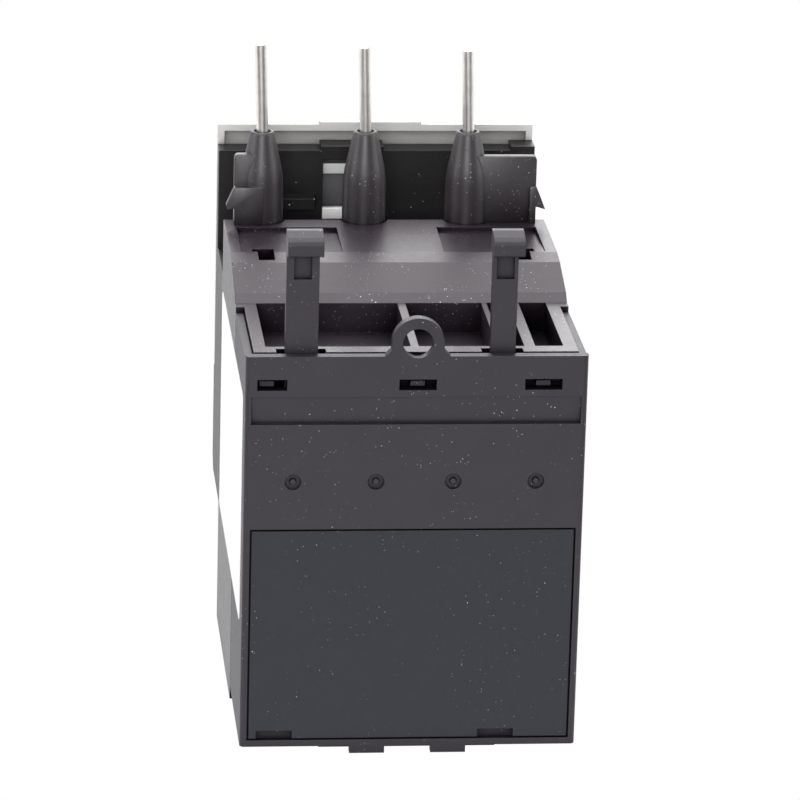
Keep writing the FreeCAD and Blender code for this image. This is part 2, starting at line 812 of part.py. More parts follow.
def make_main_housing():
    """The housing of the three poles: deck, pockets, chambers and power terminal cells."""
    housing = Moulding("main_housing")
    housing.pad("YZ", "-half_width", "half_width", [
        ("wide_back", "zero"), ("housing_front", "zero"), ("housing_front", "well_bed"),
        ("deck_end", "well_bed"), ("deck_end", "deck_top"),
        ("pocket_far_y - fall_share * deck_run", "pocket_edge + fall_rise"),
        ("pocket_far_y - crest_share * deck_run", "pocket_edge + crest_rise"),
        ("pocket_far_y - shoulder_share * deck_run", "pocket_edge + shoulder_rise"),
        ("pocket_far_y - slope_share * deck_run", "pocket_edge + slope_rise"),
        ("pocket_far_y", "pocket_edge"), ("wide_back", "pocket_edge"),
    ])
    housing.pad("YZ", "-housing_half", "housing_half", [
        ("wide_back", "housing_foot"), ("housing_back", "housing_foot"),
        ("housing_back", "rim_top"), ("wide_back", "pocket_edge"),
    ])
    tooth_z = "window_top - window_height / 2"
    teeth = [rect(f"{spot} - tooth_width / 2", f"{spot} + tooth_width / 2",
                  f"{tooth_z} - tooth_height / 2", f"{tooth_z} + tooth_height / 2")
             for spot in ("window_one_x", "window_two_x", "window_three_x + tooth_three_shift")]
    housing.pad("XZ", "housing_back", "housing_back + tooth_reach", *teeth)
    cells = [rect(f"cell_{name}_left", f"cell_{name}_left + cell_{name}_width",
                  "pocket_far_y", "pocket_near_y") for name in ("one", "two", "three", "four")]
    housing.pocket("XY", "pocket_bed", "rim_top + edge_round", *cells)
    recess = [
        ("deck_recess_near", "pocket_edge + deck_recess_near_rise"),
        ("deck_recess_far", "pocket_edge + deck_recess_far_rise"),
        ("deck_recess_far", "pocket_edge + crest_rise + fall_rise"),
        ("deck_recess_near", "pocket_edge + crest_rise + fall_rise"),
    ]
    housing.pocket("YZ", "-deck_recess_outer", "-deck_recess_inner", recess)
    housing.pocket("YZ", "deck_recess_inner", "deck_recess_outer", recess)
    holes = []
    for sense in ("-", ""):
        inner = f"{sense}(deck_hole_x - deck_hole_width / 2)"
        outer = f"{sense}(deck_hole_x + deck_hole_width / 2)"
        notch = f"{sense}(deck_hole_x + deck_hole_width / 2 + deck_notch)"
        holes.append([
            (inner, "deck_hole_far"), (notch, "deck_hole_far"),
            (notch, "deck_hole_far + 2 * deck_notch"),
            (outer, "deck_hole_far + 2 * deck_notch"),
            (outer, "deck_hole_near"), (inner, "deck_hole_near"),
        ])
    housing.pocket("XY", "pocket_edge + slope_rise - deck_hole_depth",
                   "pocket_edge + slope_rise + crest_rise", *holes)
    housing.pocket("XY", "well_bed", "deck_top + edge_round", *[
        (f"pin_{name}_x", "pin_y", "sleeve_radius + sleeve_gap") for name in POLES])
    slots = [rect(f"{arm}_x - {arm}_width / 2 - arm_slot_margin",
                  f"{arm}_x + {arm}_width / 2 + arm_slot_margin",
                  "arm_foot - fit_gap", "rim_top + edge_round") for arm in ("arm_one", "arm_two")]
    housing.pocket("XZ", "arm_slot_front", "housing_back", *slots)
    inner = "(housing_half - skin)"
    side = "(pole_pitch / 2 - rib_thickness / 2)"
    far_side = "(pole_pitch / 2 + rib_thickness / 2)"
    for start, end, floor in (
        ("chamber_front_y", "housing_back", "chamber_floor"),
        ("chamber_deep_y", "chamber_front_y", "chamber_deep_floor"),
    ):
        housing.pocket("XZ", start, end,
                       rect("-" + inner, "-" + far_side, floor, "rib_height"),
                       rect("-" + side, side, floor, "rib_height"),
                       rect(far_side, inner, floor, "rib_height"))
    housing.pocket("XZ", "chamber_front_y", "housing_back",
                   rect("-" + inner, inner, "rib_height", "chamber_top"))
    housing.pocket("XZ", "cover_inner - pad_thickness - seam_gap", "housing_back",
                   rect("-" + inner, inner, "chamber_floor", "chamber_top"))
    housing.pocket("XZ", "housing_front", "rear_face - duct_back",
                   rect("-duct_half", "duct_half", "rib_height", "duct_top"))
    housing.pocket("XY", "duct_top", "well_bed", *[
        octagon(f"pin_{name}_x", "pin_y", "pin_radius + running_gap") for name in POLES])
    housing.pocket("XY", "zero", "power_cell_height", *[
        rect(f"{pole_x(name)} - power_cell_width / 2", f"{pole_x(name)} + power_cell_width / 2",
             "power_front_y", "power_back_y") for name in POLES])
    housing.pocket("XZ", "housing_front", "power_front_y", *[
        (pole_x(name), "power_screw_height", "power_hole_radius") for name in POLES])
    housing.pocket("XZ", "power_back_y", "chamber_front_y", *[
        rect(f"{pole_x(name)} - bar_width / 2 - fit_gap", f"{pole_x(name)} + bar_width / 2 + fit_gap",
             "bar_height - fit_gap", "bar_height + bar_thickness + fit_gap") for name in POLES])


def make_front_housing():
    """The block behind the front face: the works chamber, the wells and the control terminals."""
    block = Moulding("front_housing")
    block.pad("YZ", "-half_width", "half_width", [
        ("block_back", "control_floor"), ("front_face + block_chamfer", "control_floor"),
        ("front_face", "control_floor + block_chamfer"), ("front_face", "control_top"),
        ("step_face", "control_top"), ("step_face", "wall_top"), ("wall_back", "wall_top"),
        ("wall_back", "well_bed"), ("block_back", "well_bed"),
    ])
    block.pad("XZ", "step_face", "wall_back",
              rect("lintel_left", "lintel_right", "wall_top", "wall_top + lintel_rise"),
              rect("-half_width", "-half_width + lintel_side", "wall_top", "wall_top + lintel_rise"))
    block.pad("XZ", "wall_back", "wall_back + ledge_reach",
              rect("ledge_left", "ledge_right",
                   "well_bed + ledge_foot", "well_bed + ledge_foot + ledge_height"))
    block.pocket("XZ", "works_front", "block_back",
                 rect("-works_half", "works_half", "works_floor", "works_top"))
    block.pocket("XZ", "block_back - back_recess_depth", "block_back",
                 rect("-works_half", "works_half", "control_floor + back_recess_foot",
                      "works_floor - front_step"))
    wells = (
        ("stop_x", "stop_side / 2", True),
        ("reset_x", "reset_radius", False),
        ("test_x", "test_radius", False),
    )
    for spot, half, is_square in wells:
        for grow, action in (("button_gap + well_wall", "boss"), ("button_gap", "well")):
            size = f"{half} + {grow}"
            if action == "boss":
                outline = (square if is_square else octagon)(spot, "control_row", size)
                block.pad("XZ", "works_front", "well_bottom + well_floor", outline)
            else:
                outline = square(spot, "control_row", size) if is_square else (spot, "control_row", size)
                block.pocket("XZ", "step_face", "well_bottom", outline)
    block.pocket("XZ", "well_bottom", "well_bottom + well_floor", *[
        octagon(spot, "control_row", "rod_radius + running_gap") for spot, _, _ in wells])
    block.pocket("XZ", "step_face", "step_face + dial_recess",
                 ("dial_x", "control_row", "dial_radius + dial_gap"))
    block.pocket("XZ", "step_face", "works_front",
                 ("dial_x", "control_row", "dial_shaft_radius + running_gap"))
    block.pad("XY", "works_floor", "lever_z - running_gap",
              octagon("lever_x", "lever_y", "lever_boss_radius"))
    block.pocket("XY", "lever_z - 2 * lever_thickness", "lever_z", ("lever_x", "lever_y", "lever_pin_radius"))
    block.pocket("XY", "control_floor", "control_floor + control_cell_height", *[
        rect(f"{x} - control_cell_width / 2", f"{x} + control_cell_width / 2",
             "front_face + control_face_wall", "control_back_y") for x in CONTROL_X])
    block.pocket("XZ", "front_face", "front_face + control_face_wall", *[
        (x, "control_screw_z", "control_hole_radius") for x in CONTROL_X])
    block.pocket("XY", "control_floor + control_cell_height", "works_floor", *[
        rect(f"{x} - control_bar_width / 2 - fit_gap", f"{x} + control_bar_width / 2 + fit_gap",
             "bar_y - control_bar_thickness - fit_gap", "bar_y + fit_gap") for x in CONTROL_X])
    block.pocket("XZ", "step_face", "wall_back",
                 rect("wall_opening_left", "wall_opening_right", "well_bed + wall_opening_foot",
                      "well_bed + wall_opening_foot + wall_opening_height"))
    block.pocket("XZ", "step_face", "step_face + flag_recess_depth",
                 rect("wall_opening_left - flag_side", "wall_opening_right + flag_side",
                      "flag_bed", "well_bed + wall_opening_foot + wall_opening_height"),
                 rect("flag_tail_left - flag_gap", "flag_tail_left + flag_tail_width + flag_gap",
                      "flag_bed - flag_tail_length - flag_gap", "flag_bed"))


def make_front_fascia():
    """The pale front frame with openings for flap, buttons, collar and indicator."""
    fascia = Moulding("front_fascia")
    fascia.pad("XZ", "front_face", "step_face",
               rect("-half_width", "half_width", "fascia_bottom", "fascia_top"))
    fascia.pad("XZ", "front_face", "step_face",
               rect("fascia_crest_left", "fascia_crest_right", "fascia_top", "fascia_top + fascia_crest"))
    fascia.pocket("XZ", "step_face - fascia_hollow", "step_face",
                  rect("-half_width + fascia_rim", "half_width - fascia_rim",
                       "fascia_top - fascia_rim - fascia_hollow_height", "fascia_top - fascia_rim"))
    window = square("flag_window_x", "flag_window_z", "flag_window_width / 2")
    fascia.pocket("XZ", "front_face", "step_face",
                  rect("flap_left", "flap_right", "flap_foot", "flap_top"),
                  square("stop_x", "control_row", "stop_side / 2 + button_gap"),
                  ("reset_x", "control_row", "selector_outer + fascia_gap"),
                  ("test_x", "control_row", "test_radius + button_gap"),
                  [(x, z.replace("flag_window_width", "flag_window_height")) for x, z in window])
    ears = (("flap_left - flap_pin_length", "flap_left"), ("flap_right", "flap_right + flap_pin_length"))
    for start, end in ears:
        fascia.pocket("YZ", start, end, ("flap_axis_y", "flap_axis_z", "flap_pin_radius + running_gap"))


def make_window_flap():
    """The clear flap over the dial, hinged on two pins at its lower edge."""
    flap = Moulding("window_flap")
    left, right = "flap_left + flap_gap", "flap_right - flap_gap"
    face = "flap_axis_y - flap_thickness / 2"
    flap.pad("XZ", face, face + " + flap_thickness", rect(left, right, "flap_axis_z", "flap_top - flap_gap"))
    flap.pad("YZ", left, right, ("flap_axis_y", "flap_axis_z", "flap_barrel_radius"))
    reach = "flap_pin_length + flap_gap - fit_gap"
    flap.pad("YZ", f"{left} - ({reach})", f"{right} + {reach}",
             ("flap_axis_y", "flap_axis_z", "flap_pin_radius"))
    middle = "(flap_left + flap_right) / 2"
    flap.pad("XZ", f"{face} - flap_lip_reach", face,
             rect(f"{middle} - flap_lip_width / 2", f"{middle} + flap_lip_width / 2",
                  "flap_top - flap_gap - flap_lip_height", "flap_top - flap_gap"))


def make_setting_dial():
    """The current setting dial with its screwdriver slot, and the cam on its shaft."""
    dial = Moulding("setting_dial")
    dial.pad("XZ", "step_face", "step_face + dial_head", ("zero", "zero", "dial_radius"))
    end = "step_face + dial_head + dial_shaft_length"
    dial.pad("XZ", "step_face + dial_head", end, ("zero", "zero", "dial_shaft_radius"))
    dial.pocket("XZ", "step_face", "step_face + dial_slot_depth",
                rect("-dial_slot_width / 2", "dial_slot_width / 2", "-dial_slot_half", "dial_slot_half"),
                [("-dial_pointer_width / 2", "dial_radius - dial_pointer_width"),
                 ("dial_pointer_width / 2", "dial_radius - dial_pointer_width"),
                 ("zero", "dial_radius - dial_slot_depth / 4")])
    dial.put("dial_x", "zero", "control_row")
    start = f"{end} - cam_thickness"
    disc = rod("Y", ("dial_x", "control_row + cam_offset"), start, "cam_thickness", "cam_radius")
    bore = rod("Y", ("dial_x", "control_row"), start, "cam_thickness", "dial_shaft_radius")
    keep("dial_cam", cut(disc, bore))


def make_button(label, spot, half, front, is_square):
    """A push button on a rod that snaps through the floor of its well."""
    button = Moulding(label)
    outline = square("zero", "zero", half) if is_square else ("zero", "zero", half)
    button.pad("XZ", front, "button_back", outline)
    boss_end = "well_bottom + well_floor"
    button.pad("XZ", "button_back", f"{boss_end} + rod_tail", octagon("zero", "zero", "rod_radius"))
    button.pad("XZ", f"{boss_end} + fit_gap", f"{boss_end} + fit_gap + rod_collar_length",
               octagon("zero", "zero", "rod_collar_radius"))
    button.put(spot, "zero", "control_row")
    return button


def make_buttons():
    """The stop, reset and test buttons, the collar of the reset and their springs."""
    make_button("stop_button", "stop_x", "stop_side / 2", "front_face - stop_proud", True)
    reset = make_button("reset_button", "reset_x", "reset_radius", "front_face - reset_proud", False)
    reset.pocket("XZ", "front_face - reset_proud", "front_face - reset_proud + dial_slot_depth",
                 rect("-reset_slot_half", "reset_slot_half", "-reset_slot_width / 2", "reset_slot_width / 2"))
    test = make_button("test_button", "test_x", "test_radius", "front_face + test_sunk", False)
    test.pocket("XZ", "front_face + test_sunk", "front_face + test_sunk + screw_slot_depth",
                rect("-test_slot_half", "test_slot_half", "-test_slot_width / 2", "test_slot_width / 2"))
    collar = Moulding("mode_selector")
    collar.pad("XZ", "step_face - selector_height", "step_face", ("zero", "zero", "selector_outer"))
    collar.pocket("XZ", "step_face - selector_height", "step_face", ("zero", "zero", "selector_inner"))
    collar.pocket("XZ", "step_face - selector_height", "step_face - selector_height / 2",
                  rect("-selector_notch / 2", "selector_notch / 2", "selector_outer - selector_notch",
                       "selector_outer + selector_notch"))
    collar.put("reset_x", "zero", "control_row")
    for label, spot, radius in (
        ("stop_spring", "stop_x", "stop_side / 2 - 3 * spring_wire"),
        ("reset_spring", "reset_x", "reset_radius - 3 * spring_wire"),
        ("test_spring", "test_x", "rod_radius + fit_gap"),
    ):
        make_spring(label, spot, radius)


def make_spring(label, spot, radius):
    """A compression spring between the floor of a well and the head of its button."""
    reach = number(radius) / math.cos(math.pi / SPRING_SIDES)
    steps = [2 * math.pi * side / SPRING_SIDES for side in range(SPRING_SIDES)]
    corners = [(reach * math.cos(angle), reach * math.sin(angle)) for angle in steps]
    spring = DOC.addObject("Part::Feature", "spring")
    wire = number("spring_wire")
    spring.Shape = wound_shape(corners, number("spring_turns"), number("spring_room"), wire, wire)
    spring.Placement = FreeCAD.Placement(FreeCAD.Vector(), TURNS["Y"])
    shift(spring, spot, "button_back", "control_row")
    keep(label, spring)


def make_trip_flag():
    """The pale slide that shows in the front window when the relay has tripped."""
    flag = Moulding("trip_flag")
    back = "step_face + flag_recess_depth - flag_gap"
    face = back + " - flag_thickness"
    side = "flag_side - flag_gap"
    flag.pad("XZ", face, back, rect(f"wall_opening_left - ({side})", f"wall_opening_right + ({side})",
                                    "flag_bed + flag_gap", "flag_bed + flag_gap + flag_height"))
    flag.pad("XZ", "step_face + flag_gap", face,
             rect("flag_window_x - flag_boss_width / 2", "flag_window_x + flag_boss_width / 2",
                  "flag_window_z - flag_boss_height / 2 - flag_travel / 2",
                  "flag_window_z + flag_boss_height / 2 - flag_travel / 2"))
    flag.pad("XZ", face, back, rect("flag_tail_left", "flag_tail_left + flag_tail_width",
                                    "flag_bed - flag_tail_length", "flag_bed + flag_gap"))


def make_connector_pin(index, name):
    """A round plug pin, straight in its sleeve and slightly bent above it."""
    spot = f"pin_{name}_x"
    foot = "lug_top - lug_thickness"
    free = f"pin_reach + {index} * pin_reach_step"
    stem = rod("Z", (spot, "pin_y"), foot, f"sleeve_top - ({foot})", "pin_radius")
    knee = DOC.addObject("Part::Sphere", "knee")
    bind(knee, {"Radius": "pin_radius"})
    shift(knee, spot, "pin_y", "sleeve_top")
    shank = DOC.addObject("Part::Cylinder", "shank")
    bind(shank, {"Radius": "pin_radius", "Height": f"{free} - pin_tip_chamfer"})
    tip = DOC.addObject("Part::Cone", "tip")
    bind(tip, {
        "Radius1": "pin_radius",
        "Radius2": "pin_radius - pin_tip_chamfer",
        "Height": "pin_tip_chamfer",
    })
    lean = "pin_lean * 1 deg"
    for part, along in ((shank, "zero"), (tip, f"({free} - pin_tip_chamfer)")):
        part.Placement.Rotation = FreeCAD.Rotation(FreeCAD.Vector(0, 1, 0), 1)
        bind(part, {"Placement.Rotation.Angle": lean})
        shift(part, f"{spot} + {along} * sin({lean})", "pin_y", f"sleeve_top + {along} * cos({lean})")
    keep(f"connector_pin_{index + 1}", fuse(stem, knee, shank, tip))


def make_sleeve(index, name):
    """The insulating sleeve round a pin. The outer two carry the snap wings."""
    sleeve = Moulding(f"pin_sleeve_{index + 1}")
    top = "sleeve_straight + sleeve_taper"
    sleeve.turn([
        ("zero", "zero"), ("sleeve_radius", "zero"), ("sleeve_radius", "sleeve_straight"),
        ("sleeve_shoulder_radius", "sleeve_straight + sleeve_shoulder"), ("sleeve_top_radius", top),
        ("zero", top),
    ])
    low = "(wing_foot - well_bed)"
    high = f"({low} + wing_top)"
    front = "sleeve_radius - wing_setback"
    raised = "sleeve_radius + barb_forward"
    barb = f"({low} + barb_height)"
    barb_top = f"{barb} + barb_length"
    if name == "one":
        end = "(-wing_end - pin_one_x)"
        sleeve.pad("XZ", f"{front} - wing_thickness", front, [
            ("zero", low), (end, low), (end, f"{high} - wing_corner"),
            (f"{end} + wing_corner", high), ("zero", high),
        ])
        sleeve.pad("XZ", f"{front} - wing_thickness", f"{front} + rib_rise", [
            (f"{end} + wing_strip", low), (end, low), (end, barb), (f"{end} - barb_out", barb),
            (end, barb_top), (f"{end} + wing_strip", barb_top),
        ])
    if name == "three":
        end = "(wing_three_end - pin_three_x)"
        sleeve.pad("XZ", f"{front} - wing_thickness", front, [
            ("zero", low), (end, low), (end, f"{high} - wing_corner"),
            (f"{end} - wing_corner", high), ("zero", high),
        ])
        sleeve.pad("XZ", front, raised, [
            ("zero", low), (end, low), (end, barb), (f"{end} + barb_out", barb),
            (end, barb_top), ("zero", barb_top),
        ])
    sleeve.pocket("XY", "zero", top, octagon("zero", "zero", "sleeve_bore_radius"))
    sleeve.put(f"pin_{name}_x", "pin_y", "well_bed")


def make_conductors(index, name):
    """The lug under a pin and the bar from a heater's foot to its terminal."""
    pole, pin = pole_x(name), f"pin_{name}_x"
    low = "lug_top - lug_thickness"
    across = (f"{pole} - lug_margin", f"{pin} + 2 * pin_radius")
    tab_front = "rear_face - lug_back - lug_tab_thickness"
    tab = (f"{pole} - lug_tab_width / 2", f"{pole} + lug_tab_width / 2")
    lug = cut(
        fuse(
            box(across, ("pin_y - pin_radius - bar_thickness / 2", tab_front + " + lug_tab_thickness"),
                (low, "lug_top")),
            box(tab, (tab_front, tab_front + " + lug_tab_thickness"), ("lug_tab_foot", "lug_top")),
            box(tab, (tab_front, "strip_y - strip_width / 2 - heater_half_y - ribbon_thickness"),
                ("lug_tab_foot", "lug_tab_foot + lug_tab_thickness")),
        ),
        rod("Z", (pin, "pin_y"), low, "lug_thickness", "pin_radius"),
    )
    keep(f"heater_lug_{index + 1}", lug)
    back = "power_back_y - fit_gap"
    clamp_low = "bar_height - bar_clamp_drop"
    half = "bar_width / 2"
    plate = (f"{back} - bar_thickness", back)
    bar = cut(
        fuse(
            box((f"{pole} - {half}", f"{pole} + {half}"), (plate[0], "strip_y"),
                ("bar_height", "bar_height + bar_thickness")),
            box((f"{pole} - {half}", f"{pole} + {half}"), plate,
                (clamp_low, f"{clamp_low} + bar_clamp_height")),
            box((f"{pole} + strip_thickness / 2", f"{pole} + strip_thickness / 2 + bar_thickness"),
                ("strip_y - strip_width", "strip_y"), ("bar_height", "bar_height + bar_foot_height")),
        ),
        prism("Y", (pole, "power_screw_height"), plate[0], "bar_thickness", "power_shank_radius"),
    )
    keep(f"load_bar_{index + 1}", bar)


def make_heater(index, name):
    """A bimetal strip, its insulating sleeve and the ribbon wound round both."""
    pole = pole_x(name)
    foot = "bar_height + bar_thickness"
    strip = box((f"{pole} - strip_thickness / 2", f"{pole} + strip_thickness / 2"),
                ("strip_y - strip_width", "strip_y"), (foot, "strip_top"))
    keep(f"bimetal_strip_{index + 1}", strip)
    middle = "(strip_y - strip_width / 2)"
    outer = box((f"{pole} - heater_half_x", f"{pole} + heater_half_x"),
                (f"{middle} - heater_half_y", f"{middle} + heater_half_y"), ("heater_foot", "heater_top"))
    inner = box((f"{pole} - strip_thickness / 2", f"{pole} + strip_thickness / 2"),
                ("strip_y - strip_width", "strip_y"), ("heater_foot", "heater_top"))
    keep(f"heater_sleeve_{index + 1}", cut(outer, inner))
    half_x, half_y = number("heater_half_x"), number("heater_half_y")
    corners = ((half_x, -half_y), (half_x, half_y), (-half_x, half_y), (-half_x, -half_y))
    ribbon = DOC.addObject("Part::Feature", "ribbon")
    ribbon.Shape = wound_shape(corners, number("ribbon_turns"), number("heater_top - heater_foot"),
                               number("ribbon_thickness"), number("ribbon_width"))
    shift(ribbon, pole, middle, "heater_foot")
    keep(f"heater_winding_{index + 1}", ribbon)


def wound_shape(corners, turns, height, thick, wide):
    """A flat strip wound upwards round a polygon, made side by side and joined."""
    sides = int(turns * len(corners))
    rise = (height - wide) / sides
    overlap = thick * math.tan(math.pi / len(corners))
    sheets = []
    for side in range(sides):
        (x0, y0), (x1, y1) = corners[side % len(corners)], corners[(side + 1) % len(corners)]
        out = FreeCAD.Vector(y1 - y0, x0 - x1, 0).normalize() * thick
        run = FreeCAD.Vector(x1 - x0, y1 - y0, 0).normalize() * overlap
        start = FreeCAD.Vector(x0, y0, side * rise) - (run if side == 0 else FreeCAD.Vector())
        end = FreeCAD.Vector(x1, y1, (side + 1) * rise) + run
        up = FreeCAD.Vector(0, 0, wide)
        face = Part.Face(Part.makePolygon([start, end, end + up, start + up, start]))
        sheets.append(face.extrude(out))
    return sheets[0].multiFuse(sheets[1:]).removeSplitter()


def make_screw(place, axis_z, start, shank, shank_radius, head, head_radius):
    """A slotted screw along Y whose head faces the front. start is the head's face."""
    body = fuse(
        prism("Y", (place, axis_z), start, head, head_radius, HEAD_SIDES),
        prism("Y", (place, axis_z), f"{start} + {head}", shank, shank_radius),
    )
    slot = box((f"{place} - {head_radius}", f"{place} + {head_radius}"),
               (start, f"{start} + screw_slot_depth"),
               (f"{axis_z} - screw_slot_width / 2", f"{axis_z} + screw_slot_width / 2"))
    return cut(body, slot)


def make_washer(place, axis_z, start, side, thickness, radius):
    """A square clamping washer round a screw."""
    plate = box((f"{place} - {side} / 2", f"{place} + {side} / 2"), (start, f"{start} + {thickness}"),
                (f"{axis_z} - {side} / 2", f"{axis_z} + {side} / 2"))
    return cut(plate, prism("Y", (place, axis_z), start, thickness, radius))


def make_terminals():
    """Screws and clamping washers of the power and control terminals."""
    face = "power_front_y + fit_gap"
    under = f"{face} + power_head_height"
    shank = f"(power_back_y - fit_gap) - ({under})"
    keep("power_terminal_screws", group(*[
        make_screw(pole_x(name), "power_screw_height", face, shank, "power_shank_radius",
                   "power_head_height", "power_head_radius") for name in POLES]))
    keep("power_clamp_washers", group(*[
        make_washer(pole_x(name), "power_screw_height", under, "power_washer_side",
                    "power_washer_thickness", "power_shank_radius") for name in POLES]))
    face = "front_face + control_face_wall + fit_gap"
    under = f"{face} + control_head_height"
    keep("control_terminal_screws", group(*[
        make_screw(x, "control_screw_z", face, f"bar_y - ({under})", "control_shank_radius",
                   "control_head_height", "control_head_radius") for x in CONTROL_X]))
    keep("control_clamp_washers", group(*[
        make_washer(x, "control_screw_z", under, "control_washer_side",
                    "control_washer_thickness", "control_shank_radius") for x in CONTROL_X]))
    low = "control_screw_z - control_washer_side / 2"
    for index, x in enumerate(CONTROL_X, 1):
        bar = cut(
            box((f"{x} - control_bar_width / 2", f"{x} + control_bar_width / 2"),
                ("bar_y - control_bar_thickness", "bar_y"), (low, "control_bar_top")),
            prism("Y", (x, "control_screw_z"), "bar_y - control_bar_thickness", "control_bar_thickness",
                  "control_shank_radius"),
        )
        keep(f"control_bar_{index}", bar)


def make_sliders():
    """The two slides that the bimetal strips push, and the lever that joins them."""
    ends = ("slider_start", "slider_start + slider_length")
    depth = ("slider_y - slider_width", "slider_y")

    def blank(low):
        slots = [box((f"{pole_x(name)} - strip_thickness / 2 - slider_gap - trip_travel",
                      f"{pole_x(name)} + strip_thickness / 2 + slider_gap"),
                     ("strip_y - strip_width - slider_gap", "strip_y + slider_gap"),
                     (low, f"{low} + slider_thickness")) for name in POLES]
        return box(ends, depth, (low, f"{low} + slider_thickness")), slots

    plate, slots = blank("lower_slider_z")
    pivot_y = "slider_y - slider_width / 2"
    near_pin = "(pole_two_x - pole_pitch / 2 - link_pitch / 2)"
    far_pin = "(pole_two_x - pole_pitch / 2 + link_pitch / 2)"
    low_hole = prism("Z", (near_pin, pivot_y), "lower_slider_z", "slider_thickness",
                     "link_pin_radius + running_gap")
    keep("differential_slider", cut(plate, *slots, low_hole))
    plate, slots = blank("upper_slider_z")
    finger_x = "lever_x - lever_width / 2 - slider_gap"
    finger = box((f"{finger_x} - finger_width", finger_x),
                 ("lever_y + lever_reach - finger_overlap", "slider_y - slider_width"),
                 ("upper_slider_z", "upper_slider_z + slider_thickness"))
    high_hole = prism("Z", (far_pin, pivot_y), "upper_slider_z", "slider_thickness", "link_pin_radius")
    clear = prism("Z", (near_pin, pivot_y), "upper_slider_z", "slider_thickness",
                  "link_pin_radius + slider_gap")
    keep("trip_slider", cut(fuse(plate, finger), *slots, high_hole, clear))
    top = "(upper_slider_z + slider_thickness)"
    link = fuse(
        box((f"{near_pin} - link_width / 2", f"{far_pin} + link_width / 2"),
            (f"{pivot_y} - link_width / 2", f"{pivot_y} + link_width / 2"), (top, f"{top} + link_thickness")),
        prism("Z", (far_pin, pivot_y), "upper_slider_z", "slider_thickness + link_thickness / 2",
              "link_pin_radius"),
        prism("Z", (near_pin, pivot_y), "lower_slider_z + slider_thickness / 2",
              "slider_thickness * 3 / 2 + fit_gap + link_thickness / 2", "link_pin_radius"),
    )
    keep("differential_lever", link)


def make_trip_lever():
    """The bell crank that turns the slide's push into the carrier's, and its pin."""
    lever = Moulding("trip_lever")
    half = "lever_width / 2"
    top = "lever_z + lever_thickness"
    lever.pad("XY", "lever_z", top, [
        ("lever_x - lever_arm", f"lever_y - {half}"), (f"lever_x + {half}", f"lever_y - {half}"),
        (f"lever_x + {half}", "lever_y + lever_reach"), (f"lever_x - {half}", "lever_y + lever_reach"),
        (f"lever_x - {half}", f"lever_y + {half}"), ("lever_x - lever_arm", f"lever_y + {half}"),
    ])
    lever.pad("XY", "lever_z", top, ("lever_x", "lever_y", "lever_boss_radius"))
    lever.pocket("XY", "lever_z", top, ("lever_x", "lever_y", "lever_pin_radius + running_gap"))
    pin = rod("Z", ("lever_x", "lever_y"), "lever_z - 2 * lever_thickness",
              "lever_thickness * 3 + lever_drop", "lever_pin_radius")
    keep("lever_pin", pin)


def make_carrier():
    """The contact carrier that the trip lever pulls, with its two contact bridges."""
    half = "carrier_width / 2"
    low = "works_floor + fit_gap"
    top = f"({low} + carrier_height)"
    front = "front_face + carrier_inset"
    tail = f"{front} + carrier_length"
    front_horn = "lever_y - lever_width / 2 - slider_gap"
    back_horn = "lever_y + lever_width / 2 + slider_gap"
    body = fuse(
        box(("-" + half, half), (front, tail), (low, top)),
        box(("-horn_half", "horn_half"), (f"{front_horn} - horn_thickness", front_horn),
            (top, f"{top} + carrier_horn")),
        box(("-horn_half", "horn_half"), (back_horn, f"{back_horn} + horn_thickness"),
            (top, f"{top} + carrier_horn")),
    )
    closed = "bar_y + contact_gap + rivet_height"
    opened = "bar_y - control_bar_thickness - carrier_travel - contact_gap - rivet_height - bridge_thickness"
    height = ("bridge_foot", "bridge_foot + bridge_height")
    bridges = {}
    for label, sense, start, spots in (
        ("nc_bridge", -1, closed, CONTROL_X[:2]), ("no_bridge", 1, opened, CONTROL_X[2:]),
    ):
        ends = [f"{sense} * ({half})", f"{sense} * ({half} + bridge_length)"]
        across = tuple(ends if sense > 0 else reversed(ends))
        rivet_start = f"{start} - rivet_height" if sense < 0 else f"{start} + bridge_thickness"
        rivets = [prism("Y", (x, "bridge_foot + bridge_height / 2"), rivet_start,
                        "rivet_height", "rivet_radius") for x in spots]
        bridges[label] = fuse(box(across, (start, f"{start} + bridge_thickness"), height), *rivets)
    keep("contact_carrier", body)
    for label, shape in bridges.items():
        keep(label, shape)


def check_document():
    """Stop if any object failed, or a pocket that should take material took none."""
    for item in DOC.Objects:
        if {"Invalid", "Error"} & set(item.State):
            raise RuntimeError(f"{item.Name} failed: {item.State}")
    for label, item in PIECES.items():
        if item.Shape.isNull() or not item.Shape.isValid():
            raise RuntimeError(f"{label} has no sound shape")
        if item.isDerivedFrom("PartDesign::Body"):
            steps = [step for step in item.Group if hasattr(step, "Shape") and step.Name.startswith("pocket")]
            for step in steps:
                if step.BaseFeature and near(step.BaseFeature.Shape.Volume, step.Shape.Volume):
                    raise RuntimeError(f"{step.Name} of {label} cuts nothing")


def main():
    """Build every piece, check it and write one STEP file for each."""
    fill_sheet()
    make_rear_cover()
    make_rear_plate()
    make_hook_arm("hook_arm_1", "arm_one")
    make_hook_arm("hook_arm_2", "arm_two")
    make_main_housing()
    make_front_housing()
    make_front_fascia()
    make_window_flap()
    make_setting_dial()
    make_buttons()
    make_trip_flag()
    for index, name in enumerate(POLES):
        make_connector_pin(index, name)
        make_sleeve(index, name)
        make_conductors(index, name)
        make_heater(index, name)
    make_terminals()
    make_sliders()
    make_trip_lever()
    make_carrier()
    DOC.recompute()
    check_document()
    os.makedirs("parts", exist_ok=True)
    for label, item in PIECES.items():
        item.Shape.exportStep(f"parts/{label}.step")
        print(label, len(item.Shape.Solids), round(item.Shape.Volume, 1))


main()
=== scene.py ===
"""Looks of a plug-in thermal overload relay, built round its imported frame."""

